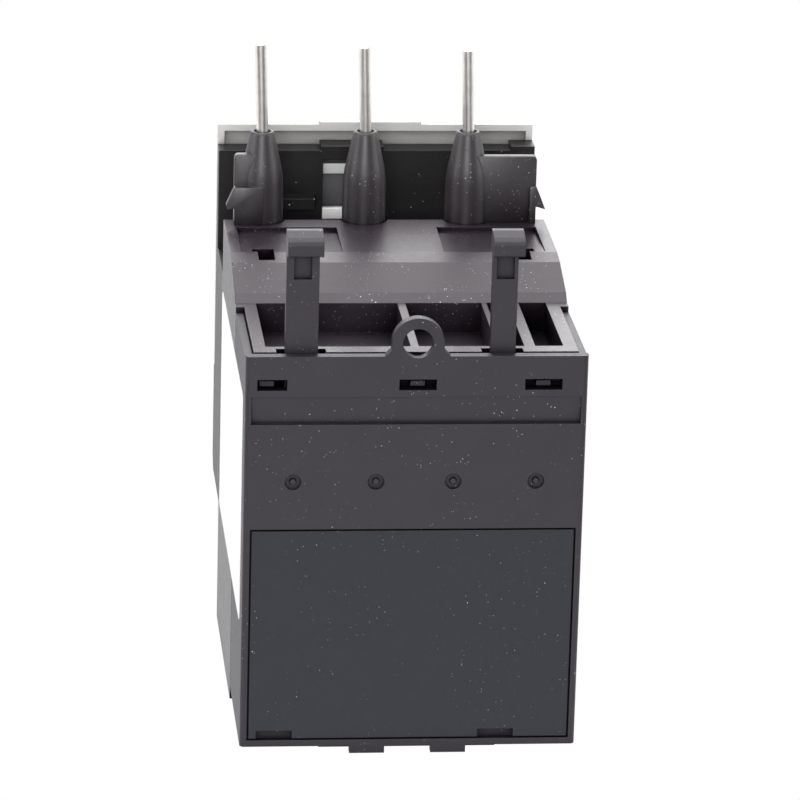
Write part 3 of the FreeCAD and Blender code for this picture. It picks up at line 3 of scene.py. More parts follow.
import json
import logging
import math
from dataclasses import dataclass
from enum import Enum

import bmesh
import bpy
from mathutils import Matrix, Vector


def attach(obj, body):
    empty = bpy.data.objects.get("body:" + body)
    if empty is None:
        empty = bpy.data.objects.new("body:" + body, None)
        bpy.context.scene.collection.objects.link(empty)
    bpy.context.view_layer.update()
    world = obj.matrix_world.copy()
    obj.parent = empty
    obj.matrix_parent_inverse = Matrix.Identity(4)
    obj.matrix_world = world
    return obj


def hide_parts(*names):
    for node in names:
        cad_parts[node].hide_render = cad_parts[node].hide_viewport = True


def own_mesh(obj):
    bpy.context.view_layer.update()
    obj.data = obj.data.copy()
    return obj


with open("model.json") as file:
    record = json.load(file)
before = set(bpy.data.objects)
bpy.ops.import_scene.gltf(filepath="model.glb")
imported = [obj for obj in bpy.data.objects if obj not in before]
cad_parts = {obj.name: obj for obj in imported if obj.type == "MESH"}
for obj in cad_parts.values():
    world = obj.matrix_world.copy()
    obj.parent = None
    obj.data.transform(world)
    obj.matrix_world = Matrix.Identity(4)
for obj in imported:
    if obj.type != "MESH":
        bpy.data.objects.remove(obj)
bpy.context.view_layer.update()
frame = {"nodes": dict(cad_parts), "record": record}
LOG = logging.getLogger("relay")
MM = 0.001

Colour = tuple[float, float, float]
Out = tuple[bpy.types.Node, str | int]
PLAIN = (1.0, 1.0, 1.0)
WHITE = (*PLAIN, 1.0)
QUARTER = math.pi / 2.0
LAID_BACK = (-QUARTER, 0.0, 0.0)
STOOD_UP = (QUARTER, 0.0, 0.0)


class Slot(Enum):
    """The record's material slots."""

    COVER = "cover_plastic"
    PLATE = "plate_plastic"
    HOUSING = "housing_plastic"
    BLOCK = "block_plastic"
    SLEEVE = "sleeve_plastic"
    FASCIA = "fascia_plastic"
    CLEAR = "clear_plastic"
    DIAL = "dial_plastic"
    RED = "red_plastic"
    BLUE = "blue_plastic"
    FLAG = "flag_plastic"
    WORKS = "works_plastic"
    PIN = "pin_metal"
    SCREW = "screw_steel"
    CONDUCTOR = "conductor_metal"
    BIMETAL = "bimetal"
    RIBBON = "heater_ribbon"
    SLEEVING = "glass_sleeving"
    CONTACT = "contact_metal"
    SPRING = "spring_steel"


def scaled(colour: Colour, factor: float) -> Colour:
    """Give a colour with its parts scaled, none over one."""
    return tuple(min(part * factor, 1.0) for part in colour)


class Tree:
    """A short way of writing node trees."""

    def __init__(self, tree: bpy.types.NodeTree) -> None:
        """Take over a tree, without the nodes it came with."""
        self.tree = tree
        self.tree.nodes.clear()

    @staticmethod
    def fill(node: bpy.types.Node, **values: object) -> None:
        """Set what a node works with.

        Args:
            node: The node.
            values: Properties, or inputs where no property has that name, spaces as underscores.
        """
        for name, value in values.items():
            if hasattr(node, name):
                setattr(node, name, value)
            else:
                node.inputs[name.replace("_", " ")].default_value = value

    def add(self, kind: str, **values: object) -> bpy.types.Node:
        """Add a node of a kind and fill it with values.

        Args:
            kind: The node's type name.
            values: What it works with, as fill takes them.

        Returns:
            The new node.
        """
        node = self.tree.nodes.new(kind)
        self.fill(node, **values)
        return node

    def link(self, start: bpy.types.Node, out: str | int, end: bpy.types.Node, into: str | int) -> None:
        """Join an output to an input, each by name or number."""
        self.tree.links.new(start.outputs[out], end.inputs[into])

    def give(self, value: Out | Colour | float, node: bpy.types.Node, into: int) -> None:
        """Join an output to an input, or set the input to a plain value.

        Args:
            value: An output, a colour or a number.
            node: The node that takes it.
            into: The number of the input.
        """
        if isinstance(value, float):
            node.inputs[into].default_value = value
        elif isinstance(value[0], float):
            node.inputs[into].default_value = (*value, 1.0)
        else:
            self.link(*value, node, into)

    def ramp(self, source: Out, low: float, high: float, start: float = 0.0, end: float = 1.0) -> Out:
        """Stretch a value so that low becomes start and high becomes end.

        Args:
            source: The value.
            low: The value that becomes start.
            high: The value that becomes end.
            start: The result at low.
            end: The result at high.

        Returns:
            The stretched value.
        """
        node = self.add("ShaderNodeMapRange", From_Min=low, From_Max=high, To_Min=start, To_Max=end)
        self.link(*source, node, "Value")
        return node, "Result"

    def calculate(self, operation: str, first: Out, second: Out | float = 0.0) -> Out:
        """Work out a value from one or two others.

        Args:
            operation: The kind of sum.
            first: The first value.
            second: The second value.

        Returns:
            The result.
        """
        node = self.add("ShaderNodeMath", operation=operation)
        self.give(first, node, 0)
        self.give(second, node, 1)
        return node, 0

    def between(self, factor: Out, first: Out | float, second: Out | float) -> Out:
        """Mix two values by a factor.

        Args:
            factor: How much of the second is taken.
            first: The first value.
            second: The second value.

        Returns:
            The mixed value.
        """
        node = self.add("ShaderNodeMix")
        for value, into in ((factor, 0), (first, 2), (second, 3)):
            self.give(value, node, into)
        return node, 0

    def blend(self, factor: Out, first: Out, second: Out) -> Out:
        """Mix two surfaces by a factor.

        Args:
            factor: How much of the second is taken.
            first: The first surface.
            second: The second surface.

        Returns:
            The mixed surface.
        """
        node = self.add("ShaderNodeMixShader")
        for into, source in enumerate((factor, first, second)):
            self.link(*source, node, into)
        return node, 0

    def white_to_eye(self, plain: Out) -> Out:
        """Show pure white to the camera and to what is seen through clear plastic.

        Args:
            plain: The surface that everything else sees.

        Returns:
            The mixed surface.
        """
        rays = self.add("ShaderNodeLightPath")
        white = self.add("ShaderNodeEmission", Color=WHITE)
        seen = self.calculate("MAXIMUM", (rays, "Is Camera Ray"), (rays, "Is Transmission Ray"))
        return self.blend(seen, plain, (white, "Emission"))


class Graph(Tree):
    """The node tree of a material."""

    PAINTED_SHADE_SAMPLES = 6
    PAINTED_SHADE_RANGE = (0.28, 0.82)
    CORNER_SAMPLES = 4
    BUMP_STRENGTH = 0.6

    def __init__(self, name: str) -> None:
        """Start an empty material with its output and surface shader.

        Args:
            name: The material's name.
        """
        self.material = bpy.data.materials.new(name)
        self.material.use_nodes = True
        super().__init__(self.material.node_tree)
        self.output = self.add("ShaderNodeOutputMaterial")
        self.surface = self.add("ShaderNodeBsdfPrincipled")
        self.link(self.surface, "BSDF", self.output, "Surface")
        self.coordinates = self.add("ShaderNodeTexCoord")

    def noise(self, scale: float, detail: float = 3.0, stretch: Colour = PLAIN) -> Out:
        """Noise on object coordinates.

        Args:
            scale: Waves per metre.
            detail: Levels of finer noise.
            stretch: Factors on the three coordinates.

        Returns:
            The noise's value.
        """
        mapping = self.add("ShaderNodeMapping", Scale=stretch)
        self.link(self.coordinates, "Object", mapping, "Vector")
        node = self.add("ShaderNodeTexNoise", Scale=scale, Detail=detail)
        self.link(mapping, "Vector", node, "Vector")
        return node, "Fac"

    def mix(
        self, factor: Out | float, first: Out | Colour, second: Out | Colour, blend_type: str = "MIX",
    ) -> Out:
        """Mix two colours.

        Args:
            factor: How much of the second is taken.
            first: The first colour.
            second: The second colour.
            blend_type: How they are mixed.

        Returns:
            The mixed colour.
        """
        node = self.add("ShaderNodeMix", data_type="RGBA", blend_type=blend_type)
        for value, into in ((factor, 0), (first, 6), (second, 7)):
            self.give(value, node, into)
        return node, 2

    def paint_hollow_shade(self, source: Out, reach: float, depth: float) -> Out:
        """Paint shade into a colour in narrow gaps and deep recesses by ambient occlusion, and dim the gloss
        there too.

        Args:
            source: The colour.
            reach: How far in metres a wall may stand to shade the surface.
            depth: The share of the colour left at the bottom of a gap.

        Returns:
            The colour with its painted shade.
        """
        share = self.add("ShaderNodeAmbientOcclusion", samples=self.PAINTED_SHADE_SAMPLES, Distance=reach)
        level = self.ramp((share, "AO"), *self.PAINTED_SHADE_RANGE, depth)
        # Painted shade on the reflection as well: the gloss is dimmed in the same hollows.
        self.link(*level, self.surface, "Specular Tint")
        return self.mix(1.0, source, level, "MULTIPLY")

    def bump(self, source: Out, height: float, rounding: float = 0.0) -> None:
        """Raise the surface by a value and soften its corners.

        Args:
            source: The value.
            height: The full height in metres.
            rounding: The radius in metres that corners seem to have.
        """
        node = self.add("ShaderNodeBump", Strength=self.BUMP_STRENGTH, Distance=height)
        self.link(*source, node, "Height")
        self.link(node, "Normal", self.surface, "Normal")
        if rounding > 0.0:
            corner = self.add("ShaderNodeBevel", samples=self.CORNER_SAMPLES, Radius=rounding)
            self.link(corner, "Normal", node, "Normal")

    def wear(self, source: Out, smooth: float, rough: float) -> None:
        """Vary the roughness between two levels by a value."""
        self.link(*self.ramp(source, 0.0, 1.0, smooth, rough), self.surface, "Roughness")


@dataclass(frozen=True)
class MouldedPlastic:
    """Injection-moulded plastic with a fine spark-eroded grain, light dust and painted shade in its hollows.
    """

    name: str
    colour: Colour
    roughness: float
    grain: float = 0.018 * MM
    grain_scale: float = 3600.0
    mottle: float = 0.10
    mottle_scale: float = 260.0
    wear_scale: float = 900.0
    smoother: float = 0.05
    rougher: float = 0.07
    dust: float = 0.0
    dust_colour: Colour = (0.70, 0.66, 0.67)
    speck_scale: float = 4000.0
    speck_reach: float = 0.34
    drift_scale: float = 150.0
    drift_range: tuple[float, float] = (0.42, 0.60)
    rounding: float = 0.14 * MM
    gloss: float = 0.5
    bending: float = 1.5
    painted_hollow_shade: float = 0.30
    painted_shade_reach: float = 7.0 * MM

    def make(self) -> bpy.types.Material:
        """Build the material.

        Returns:
            The material.
        """
        graph = Graph(self.name)
        broad = graph.noise(self.mottle_scale, 4.0)
        dark, light = scaled(self.colour, 1.0 - self.mottle), scaled(self.colour, 1.0 + self.mottle)
        base = graph.mix(broad, dark, light)
        if self.dust > 0.0:
            base = self.add_dust(graph, base)
        # Painted shade: ambient occlusion darkens the colour in gaps and recesses.
        with_painted_shade = graph.paint_hollow_shade(base, self.painted_shade_reach, self.painted_hollow_shade)
        graph.link(*with_painted_shade, graph.surface, "Base Color")
        graph.fill(graph.surface, Specular_IOR_Level=self.gloss, IOR=self.bending)
        worn = graph.noise(self.wear_scale, 2.0)
        graph.wear(worn, self.roughness - self.smoother, self.roughness + self.rougher)
        graph.bump(graph.noise(self.grain_scale, 2.0), self.grain, self.rounding)
        return graph.material

    def add_dust(self, graph: Graph, base: Out) -> Out:
        """Scatter light specks of dust over the colour.

        Args:
            graph: The material's node tree.
            base: The plain colour.

        Returns:
            The dusted colour.
        """
        cells = graph.add("ShaderNodeTexVoronoi", Scale=self.speck_scale)
        graph.link(graph.coordinates, "Object", cells, "Vector")
        draws = graph.add("ShaderNodeSeparateColor")
        graph.link(cells, "Color", draws, "Color")
        chosen = graph.ramp((draws, "Red"), 1.0 - self.dust, 1.0)
        reach = graph.calculate("MULTIPLY", chosen, self.speck_reach)
        speck = graph.calculate("LESS_THAN", (cells, "Distance"), reach)
        drift = graph.ramp(graph.noise(self.drift_scale, 2.0), *self.drift_range)
        gathered = graph.calculate("MULTIPLY", speck, drift)
        faint = graph.calculate("MULTIPLY", gathered, (draws, "Green"))
        return graph.mix(faint, base, self.dust_colour)


@dataclass(frozen=True)
class WorkedMetal:
    """Drawn, rolled or plated metal with fine lines along one direction."""

    name: str
    colour: Colour
    roughness: float
    stretch: Colour = (1.0, 1.0, 0.06)
    lines: float = 0.006 * MM
    line_scale: float = 7000.0
    smoother: float = 0.08
    rougher: float = 0.12
    stain: float = 0.25
    stain_scale: float = 700.0
    stain_range: tuple[float, float] = (0.35, 0.75)
    rounding: float = 0.08 * MM

    def make(self) -> bpy.types.Material:
        """Build the material.

        Returns:
            The material.
        """
        graph = Graph(self.name)
        graph.fill(graph.surface, Metallic=1.0)
        streaks = graph.noise(self.line_scale, 3.0, self.stretch)
        shade = graph.ramp(graph.noise(self.stain_scale, 5.0), *self.stain_range)
        base = graph.mix(shade, self.colour, scaled(self.colour, 1.0 - self.stain))
        graph.link(*base, graph.surface, "Base Color")
        graph.wear(streaks, self.roughness - self.smoother, self.roughness + self.rougher)
        graph.bump(streaks, self.lines, self.rounding)
        return graph.material


@dataclass(frozen=True)
class ClearPlastic:
    """Clear plastic of the flap, which lets lamplight through to what lies behind."""

    name: str
    colour: Colour = (0.96, 0.98, 0.99)
    bending: float = 1.45
    smear_scale: float = 500.0
    smear: tuple[float, float] = (0.02, 0.09)

    def make(self) -> bpy.types.Material:
        """Build the material.

        Returns:
            The material.
        """
        graph = Graph(self.name)
        graph.fill(graph.surface, Base_Color=(*self.colour, 1.0), Transmission_Weight=1.0, IOR=self.bending)
        graph.wear(graph.noise(self.smear_scale, 3.0), *self.smear)
        rays = graph.add("ShaderNodeLightPath")
        letting = graph.add("ShaderNodeBsdfTransparent")
        lit = graph.blend((rays, "Is Shadow Ray"), (graph.surface, "BSDF"), (letting, "BSDF"))
        graph.link(*lit, graph.output, "Surface")
        return graph.material


@dataclass(frozen=True)
class LabelFilm:
    """White blank film with a faint orange-peel face."""

    name: str
    colour: Colour = (0.86, 0.86, 0.86)
    roughness: float = 0.42
    cloud: float = 0.04
    cloud_scale: float = 120.0
    peel: float = 0.006 * MM
    peel_scale: float = 2500.0

    def make(self) -> bpy.types.Material:
        """Build the material.

        Returns:
            The material.
        """
        graph = Graph(self.name)
        cloud = graph.noise(self.cloud_scale, 3.0)
        base = graph.mix(cloud, scaled(self.colour, 1.0 - self.cloud), self.colour)
        graph.link(*base, graph.surface, "Base Color")
        graph.fill(graph.surface, Roughness=self.roughness)
        graph.bump(graph.noise(self.peel_scale, 2.0), self.peel)
        return graph.material


@dataclass(frozen=True)
class WovenSleeving:
    """Woven glass sleeving round a bimetal strip."""

    name: str
    colour: Colour = (0.80, 0.77, 0.70)
    roughness: float = 0.9
    shade: float = 0.7
    weave_scale: float = 900.0
    weave_shift: float = 1.5
    weave_height: float = 0.04 * MM

    def make(self) -> bpy.types.Material:
        """Build the material.

        Returns:
            The material.
        """
        graph = Graph(self.name)
        waves = graph.add("ShaderNodeTexWave", Scale=self.weave_scale, Distortion=self.weave_shift)
        graph.link(graph.coordinates, "Object", waves, "Vector")
        weave = (waves, "Fac")
        base = graph.mix(weave, scaled(self.colour, self.shade), self.colour)
        graph.link(*base, graph.surface, "Base Color")
        graph.fill(graph.surface, Roughness=self.roughness)
        graph.bump(weave, self.weave_height)
        return graph.material


# The hollow settings below are painted shade: the share of colour left deep in gaps and recesses. The
# housing's pockets go almost black.
FINISHES = {
    Slot.COVER: MouldedPlastic("cover_grey", (0.022, 0.018, 0.026), 0.46, dust=0.10),
    Slot.PLATE: MouldedPlastic("plate_grey", (0.014, 0.015, 0.023), 0.60, dust=0.10),
    Slot.HOUSING: MouldedPlastic("housing_grey", (0.026, 0.018, 0.027), 0.34, dust=0.22, painted_hollow_shade=0.04),
    Slot.BLOCK: MouldedPlastic("block_black", (0.006, 0.005, 0.006), 0.40, dust=0.05, gloss=0.45,
                               painted_hollow_shade=0.15),
    Slot.SLEEVE: MouldedPlastic("sleeve_black", (0.018, 0.013, 0.017), 0.42, dust=0.16, gloss=0.9),
    Slot.FASCIA: MouldedPlastic("fascia_grey", (0.60, 0.59, 0.58), 0.45, mottle=0.03, painted_hollow_shade=0.30),
    Slot.CLEAR: ClearPlastic("flap_clear"),
    Slot.DIAL: MouldedPlastic("dial_white", (0.78, 0.78, 0.74), 0.42, mottle=0.03, painted_hollow_shade=0.7),
    Slot.RED: MouldedPlastic("button_red", (0.52, 0.03, 0.025), 0.32, mottle=0.05),
    Slot.BLUE: MouldedPlastic("button_blue", (0.02, 0.09, 0.38), 0.32, mottle=0.05),
    Slot.FLAG: MouldedPlastic("flag_grey", (0.36, 0.40, 0.40), 0.40, mottle=0.05),
    Slot.WORKS: MouldedPlastic("works_cream", (0.66, 0.62, 0.52), 0.45, mottle=0.04),
    Slot.PIN: WorkedMetal("pin_tinned", (0.97, 0.93, 0.90), 0.30, stain=0.14),
    Slot.SCREW: WorkedMetal("screw_zinc", (0.66, 0.63, 0.56), 0.34, (1.0, 0.2, 1.0)),
    Slot.CONDUCTOR: WorkedMetal("conductor_copper", (0.72, 0.42, 0.26), 0.38, (0.1, 1.0, 1.0)),
    Slot.BIMETAL: WorkedMetal("bimetal_rolled", (0.52, 0.50, 0.47), 0.36),
    Slot.RIBBON: WorkedMetal("ribbon_oxidised", (0.30, 0.27, 0.24), 0.48, stain=0.4),
    Slot.SLEEVING: WovenSleeving("sleeving_woven"),
    Slot.CONTACT: WorkedMetal("contact_silvered", (0.80, 0.77, 0.72), 0.30, (0.1, 1.0, 1.0)),
    Slot.SPRING: WorkedMetal("spring_bright", (0.60, 0.60, 0.60), 0.28, stain=0.1),
}
LABEL_FILM = LabelFilm("label_white")


class Workshop:
    """Keeps the made materials and turns meshes into pieces on their bodies."""

    def __init__(self) -> None:
        """Make every finish once."""
        self.materials = {slot: finish.make() for slot, finish in FINISHES.items()}
        self.slots = {row["node"]: Slot(row["material_slot"]) for row in frame["record"]["subparts"]}
        self.bodies = {
            node: body for body, nodes in frame["record"]["behaviour"]["bodies"].items() for node in nodes
        }

    def dress_frame(self) -> None:
        """Give every CAD node the finish of its slot."""
        for node, item in frame["nodes"].items():
            self.paint(item, self.materials[self.slots[node]])

    @staticmethod
    def paint(item: bpy.types.Object, material: bpy.types.Material) -> None:
        """Put one material on all of an object's faces.

        Args:
            item: The object.
            material: The material.
        """
        if not item.material_slots:
            item.data.materials.append(material)
        for place in item.material_slots:
            place.material = material

    def place(
        self, name: str, mesh: bpy.types.Mesh, body: str, slot: Slot, *nodes: str,
        material: bpy.types.Material | None = None,
    ) -> bpy.types.Object:
        """Turn a mesh into a piece on a body.

        Args:
            name: The piece's name.
            mesh: Its mesh, in place.
            body: The CAD body that it rides on.
            slot: The slot that it takes its finish from.
            nodes: The CAD nodes that it stands for.
            material: Its material where that isn't the slot's own.

        Returns:
            The piece.
        """
        item = hang(name, mesh)
        mesh.name = name
        mesh.materials.clear()
        mesh.materials.append(material or self.materials[slot])
        for face in mesh.polygons:
            face.material_index = 0
        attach(item, body)
        if nodes:
            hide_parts(*nodes)
        LOG.info("%s: %d faces on %s", name, len(mesh.polygons), body)
        return item


def hang(name: str, data: bpy.types.ID) -> bpy.types.Object:
    """Put an object with this data into the scene.

    Args:
        name: The object's name.
        data: What it shows.

    Returns:
        The object.
    """
    item = bpy.data.objects.new(name, data)
    bpy.context.scene.collection.objects.link(item)
    return item


def settled_mesh(item: bpy.types.Object) -> bpy.types.Mesh:
    """Give an object's evaluated shape as a mesh of its own.

    Args:
        item: The object.

    Returns:
        The mesh.
    """
    bpy.context.view_layer.update()
    shape = item.evaluated_get(bpy.context.evaluated_depsgraph_get())
    return bpy.data.meshes.new_from_object(shape)


def pour(work: bmesh.types.BMesh, name: str) -> bpy.types.Mesh:
    """Turn a bmesh into a new mesh and free it.

    Args:
        work: The bmesh.
        name: The mesh's name.

    Returns:
        The mesh.
    """
    mesh = bpy.data.meshes.new(name)
    work.to_mesh(mesh)
    work.free()
    return mesh


class Pattern(Tree):
    """A tree of geometry nodes with named inputs, run once to give a plain mesh."""

    KINDS = {int: "NodeSocketInt", float: "NodeSocketFloat", Vector: "NodeSocketVector"}

    def __init__(
        self, name: str, values: dict[str, int | float | Vector], material: bpy.types.Material,
    ) -> None:
        """Start the tree.

        Args:
            name: The tree's name.
            values: The inputs and what each is set to.
            material: What all of the result is made of.
        """
        super().__init__(bpy.data.node_groups.new(name, "GeometryNodeTree"))
        self.values = values
        face = self.tree.interface
        for direction in ("INPUT", "OUTPUT"):
            face.new_socket("Geometry", in_out=direction, socket_type="NodeSocketGeometry")
        for label, value in values.items():
            face.new_socket(label, in_out="INPUT", socket_type=self.KINDS[type(value)])
        self.start = self.add("NodeGroupInput")
        self.real = self.add("GeometryNodeRealizeInstances")
        coat = self.add("GeometryNodeSetMaterial", Material=material)
        end = self.add("NodeGroupOutput")
        self.link(self.real, "Geometry", coat, "Geometry")
        self.link(coat, "Geometry", end, "Geometry")

    def feed(self, node: bpy.types.Node, **labels: str) -> None:
        """Join named inputs of the tree to a node's inputs, spaces written as underscores."""
        for into, label in labels.items():
            self.link(self.start, label, node, into.replace("_", " "))

    def run(self, mesh: bpy.types.Mesh | None = None) -> bpy.types.Mesh:
        """Run the tree.

        Args:
            mesh: The geometry that the tree starts from, an empty mesh where none is given.

        Returns:
            The result as a mesh of its own.
        """
        carrier = hang(self.tree.name, mesh or bpy.data.meshes.new(f"{self.tree.name}_start"))
        modifier = carrier.modifiers.new(self.tree.name, "NODES")
        modifier.node_group = self.tree
        for item in self.tree.interface.items_tree:
            if item.in_out == "INPUT" and item.name in self.values:
                value = self.values[item.name]
                modifier[item.identifier] = tuple(value) if isinstance(value, Vector) else value
        result = settled_mesh(carrier)
        carrier.modifiers.remove(modifier)
        bpy.data.objects.remove(carrier)
        return result


def soften(mesh: bpy.types.Mesh, limit: float = math.radians(35.0)) -> bpy.types.Mesh:
    """Shade a mesh smooth but for the edges that turn by more than the limit.

    Args:
        mesh: The mesh.
        limit: The largest turn that still looks smooth.

    Returns:
        The same mesh.
    """
    work = bmesh.new()
    work.from_mesh(mesh)
    bmesh.ops.recalc_face_normals(work, faces=work.faces)
    for face in work.faces:
        face.smooth = True
    for edge in work.edges:
        edge.smooth = len(edge.link_faces) == 2 and edge.calc_face_angle() < limit
    work.to_mesh(mesh)
    work.free()
    return mesh


def lathe(name: str, profile: list[tuple[float, float]], steps: int = 40) -> bpy.types.Mesh:
    """Turn a profile about the Z axis.

    Args:
        name: The mesh's name.
        profile: Radius and height of each point, from one end on the axis to the other.
        steps: Sides of the round.

    Returns:
        The closed mesh.
    """
    work = bmesh.new()
    rings = []
    for radius, height in profile:
        if radius == 0.0:
            rings.append([work.verts.new((0.0, 0.0, height))])
            continue
        turns = [2.0 * math.pi * step / steps for step in range(steps)]
        rings.append([work.verts.new((radius * math.cos(a), radius * math.sin(a), height)) for a in turns])
    for low, high in zip(rings, rings[1:]):
        for step in range(steps):
            after = (step + 1) % steps
            spots = ((low, step), (low, after), (high, after), (high, step))
            corners = [ring[place % len(ring)] for ring, place in spots]
            work.faces.new(list(dict.fromkeys(corners)))
    return soften(pour(work, name))


def node_box(name: str) -> tuple[Vector, Vector]:
    """The low and high corner of a CAD node.

    Args:
        name: The node's name.

    Returns:
        Both corners in metres.
    """
    spots = [vertex.co for vertex in frame["nodes"][name].data.vertices]
    low = Vector([min(spot[axis] for spot in spots) for axis in range(3)])
    high = Vector([max(spot[axis] for spot in spots) for axis in range(3)])
    return low, high


def block(low: Vector, high: Vector) -> bmesh.types.BMesh:
    """Make a box between two corners.

    Args:
        low: The low corner.
        high: The high corner.

    Returns:
        The closed box.
    """
    work = bmesh.new()
    bmesh.ops.create_cube(work, size=1.0)
    bmesh.ops.scale(work, vec=high - low, verts=work.verts)
    bmesh.ops.translate(work, vec=(high + low) / 2.0, verts=work.verts)
    return work


@dataclass
class PushSprings:
    """The round-wire springs that bring the three buttons back, with the travel of each."""

    wire: float = 0.2 * MM
    turns: float = 4.5
    points: int = 28
    wire_sides: int = 10
    travels: tuple[tuple[str, str, float], ...] = (
        ("stop", "stop_press", 2.0 * MM),
        ("reset", "reset_press", 2.5 * MM),
        ("test", "test_press", 1.2 * MM),
    )

    def build(self, shop: Workshop) -> None:
        """Coil each spring between the floor of its well and its button.

        Args:
            shop: Makes the pieces.
        """
        for name, joint, travel in self.travels:
            low, high = node_box(f"{name}_spring")
            room = high.y - low.y
            middle = Vector(((low.x + high.x) / 2.0, low.y + self.wire, (low.z + high.z) / 2.0))
            radius = (high.x - low.x) / 2.0
            mesh = self.coil(f"{name}_coil", radius, room, middle, shop.materials[Slot.SPRING])
            coil = shop.place(f"{name}_spring_coil", mesh, "casing", Slot.SPRING, f"{name}_spring")
            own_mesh(coil)

    def coil(
        self, name: str, radius: float, room: float, foot: Vector, steel: bpy.types.Material,
    ) -> bpy.types.Mesh:
        """Wind one spring.

        Args:
            name: The tree's name.
            radius: The coil's outer radius.
            room: The coil's outer length.
            foot: The middle of its first turn.
            steel: What it is made of.

        Returns:
            The spring along +Y.
        """
        tree = Pattern(name, {
            "Turns": self.turns, "Coil Radius": radius - self.wire, "Coil Length": room - 2.0 * self.wire,
            "Wire Radius": self.wire, "Foot": foot, "Points": self.points, "Wire Sides": self.wire_sides,
        }, steel)
        path = tree.add("GeometryNodeCurveSpiral")
        tree.feed(path, Resolution="Points", Rotations="Turns", Start_Radius="Coil Radius",
                  End_Radius="Coil Radius", Height="Coil Length")
        ring = tree.add("GeometryNodeCurvePrimitiveCircle")
        tree.feed(ring, Resolution="Wire Sides", Radius="Wire Radius")
        tube = tree.add("GeometryNodeCurveToMesh", Fill_Caps=True)
        tree.link(path, "Curve", tube, "Curve")
        tree.link(ring, "Curve", tube, "Profile Curve")
        lay = tree.add("GeometryNodeTransform", Rotation=LAID_BACK)
        tree.feed(lay, Translation="Foot")
        tree.link(tube, "Mesh", lay, "Geometry")
        tree.link(lay, "Geometry", tree.real, "Geometry")
        return soften(tree.run())


@dataclass
class TerminalScrews:
    """A row of slotted cheese-head screws with threaded shanks."""

    node: str
    count: int
    head_radius: float
    head_height: float
    shank_radius: float
    slot_width: float = 1.0 * MM
    slot_depth: float = 1.0 * MM
    rim: float = 0.35 * MM
    rim_steps: int = 4
    thread_pitch: float = 0.7 * MM
    thread_depth: float = 0.28 * MM

    def build(self, shop: Workshop) -> None:
        """Turn one screw and repeat it along the row.

        Args:
            shop: Makes the piece.
        """
        low, high = node_box(self.node)
        first = Vector((low.x + self.head_radius, low.y, (low.z + high.z) / 2.0))
        last = high.x - self.head_radius
        step = Vector(((last - first.x) / (self.count - 1), 0.0, 0.0))
        tree = Pattern(f"{self.node}_row", {"Count": self.count, "First": first, "Step": step},
                       shop.materials[Slot.SCREW])
        line = tree.add("GeometryNodeMeshLine", mode="OFFSET")
        tree.feed(line, Count="Count", Start_Location="First", Offset="Step")
        copies = tree.add("GeometryNodeInstanceOnPoints")
        tree.link(line, "Mesh", copies, "Points")
        tree.feed(copies, Instance="Geometry")
        tree.link(copies, "Instances", tree.real, "Geometry")
        mesh = soften(tree.run(self.turn_one(high.y - low.y)))
        shop.place(f"{self.node}_slotted", mesh, "casing", Slot.SCREW, self.node)

    def turn_one(self, length: float) -> bpy.types.Mesh:
        """Make one screw.

        Args:
            length: From the head's face to the tip.

        Returns:
            The screw with its head's face at the origin and its shank along +Y.
        """
        profile = [(0.0, 0.0), (self.head_radius - self.rim, 0.0)]
        for step in range(1, self.rim_steps + 1):
            angle = QUARTER * step / self.rim_steps
            profile.append((self.head_radius - self.rim * (1.0 - math.sin(angle)),
                            self.rim * (1.0 - math.cos(angle))))
        profile += [(self.head_radius, self.head_height), (self.shank_radius, self.head_height)]
        place = self.head_height + self.thread_pitch / 2.0
        root = self.shank_radius - self.thread_depth
        while place + self.thread_pitch < length:
            profile += [(self.shank_radius, place), (root, place + self.thread_pitch / 2.0)]
            place += self.thread_pitch
        profile += [(self.shank_radius, place), (self.shank_radius, length - self.rim),
                    (self.shank_radius - self.rim, length), (0.0, length)]
        reach = Vector((1.5 * self.head_radius, self.slot_width / 2.0, self.slot_depth))
        screw = cut_away(lathe("screw_blank", profile), pour(block(-reach, reach), "screw_slot"))
        screw.transform(Matrix.Rotation(-QUARTER, 4, "X"))
        return screw


SCREWS = (
    TerminalScrews("power_terminal_screws", 3, 3.6 * MM, 2.4 * MM, 2.0 * MM),
    TerminalScrews("control_terminal_screws", 4, 2.75 * MM, 1.9 * MM, 1.5 * MM),
)


def cut_away(base: bpy.types.Mesh, tool: bpy.types.Mesh) -> bpy.types.Mesh:
    """Take one closed mesh out of another.

    Args:
        base: The mesh that is cut.
        tool: The mesh that cuts.

    Returns:
        The rest as a new mesh.
    """
    kept, taken = hang("cut_base", base), hang("cut_tool", tool)
    modifier = kept.modifiers.new("slot", "BOOLEAN")
    modifier.operation = "DIFFERENCE"
    modifier.object = taken
    result = settled_mesh(kept)
    for item in (kept, taken):
        bpy.data.objects.remove(item)
    return result


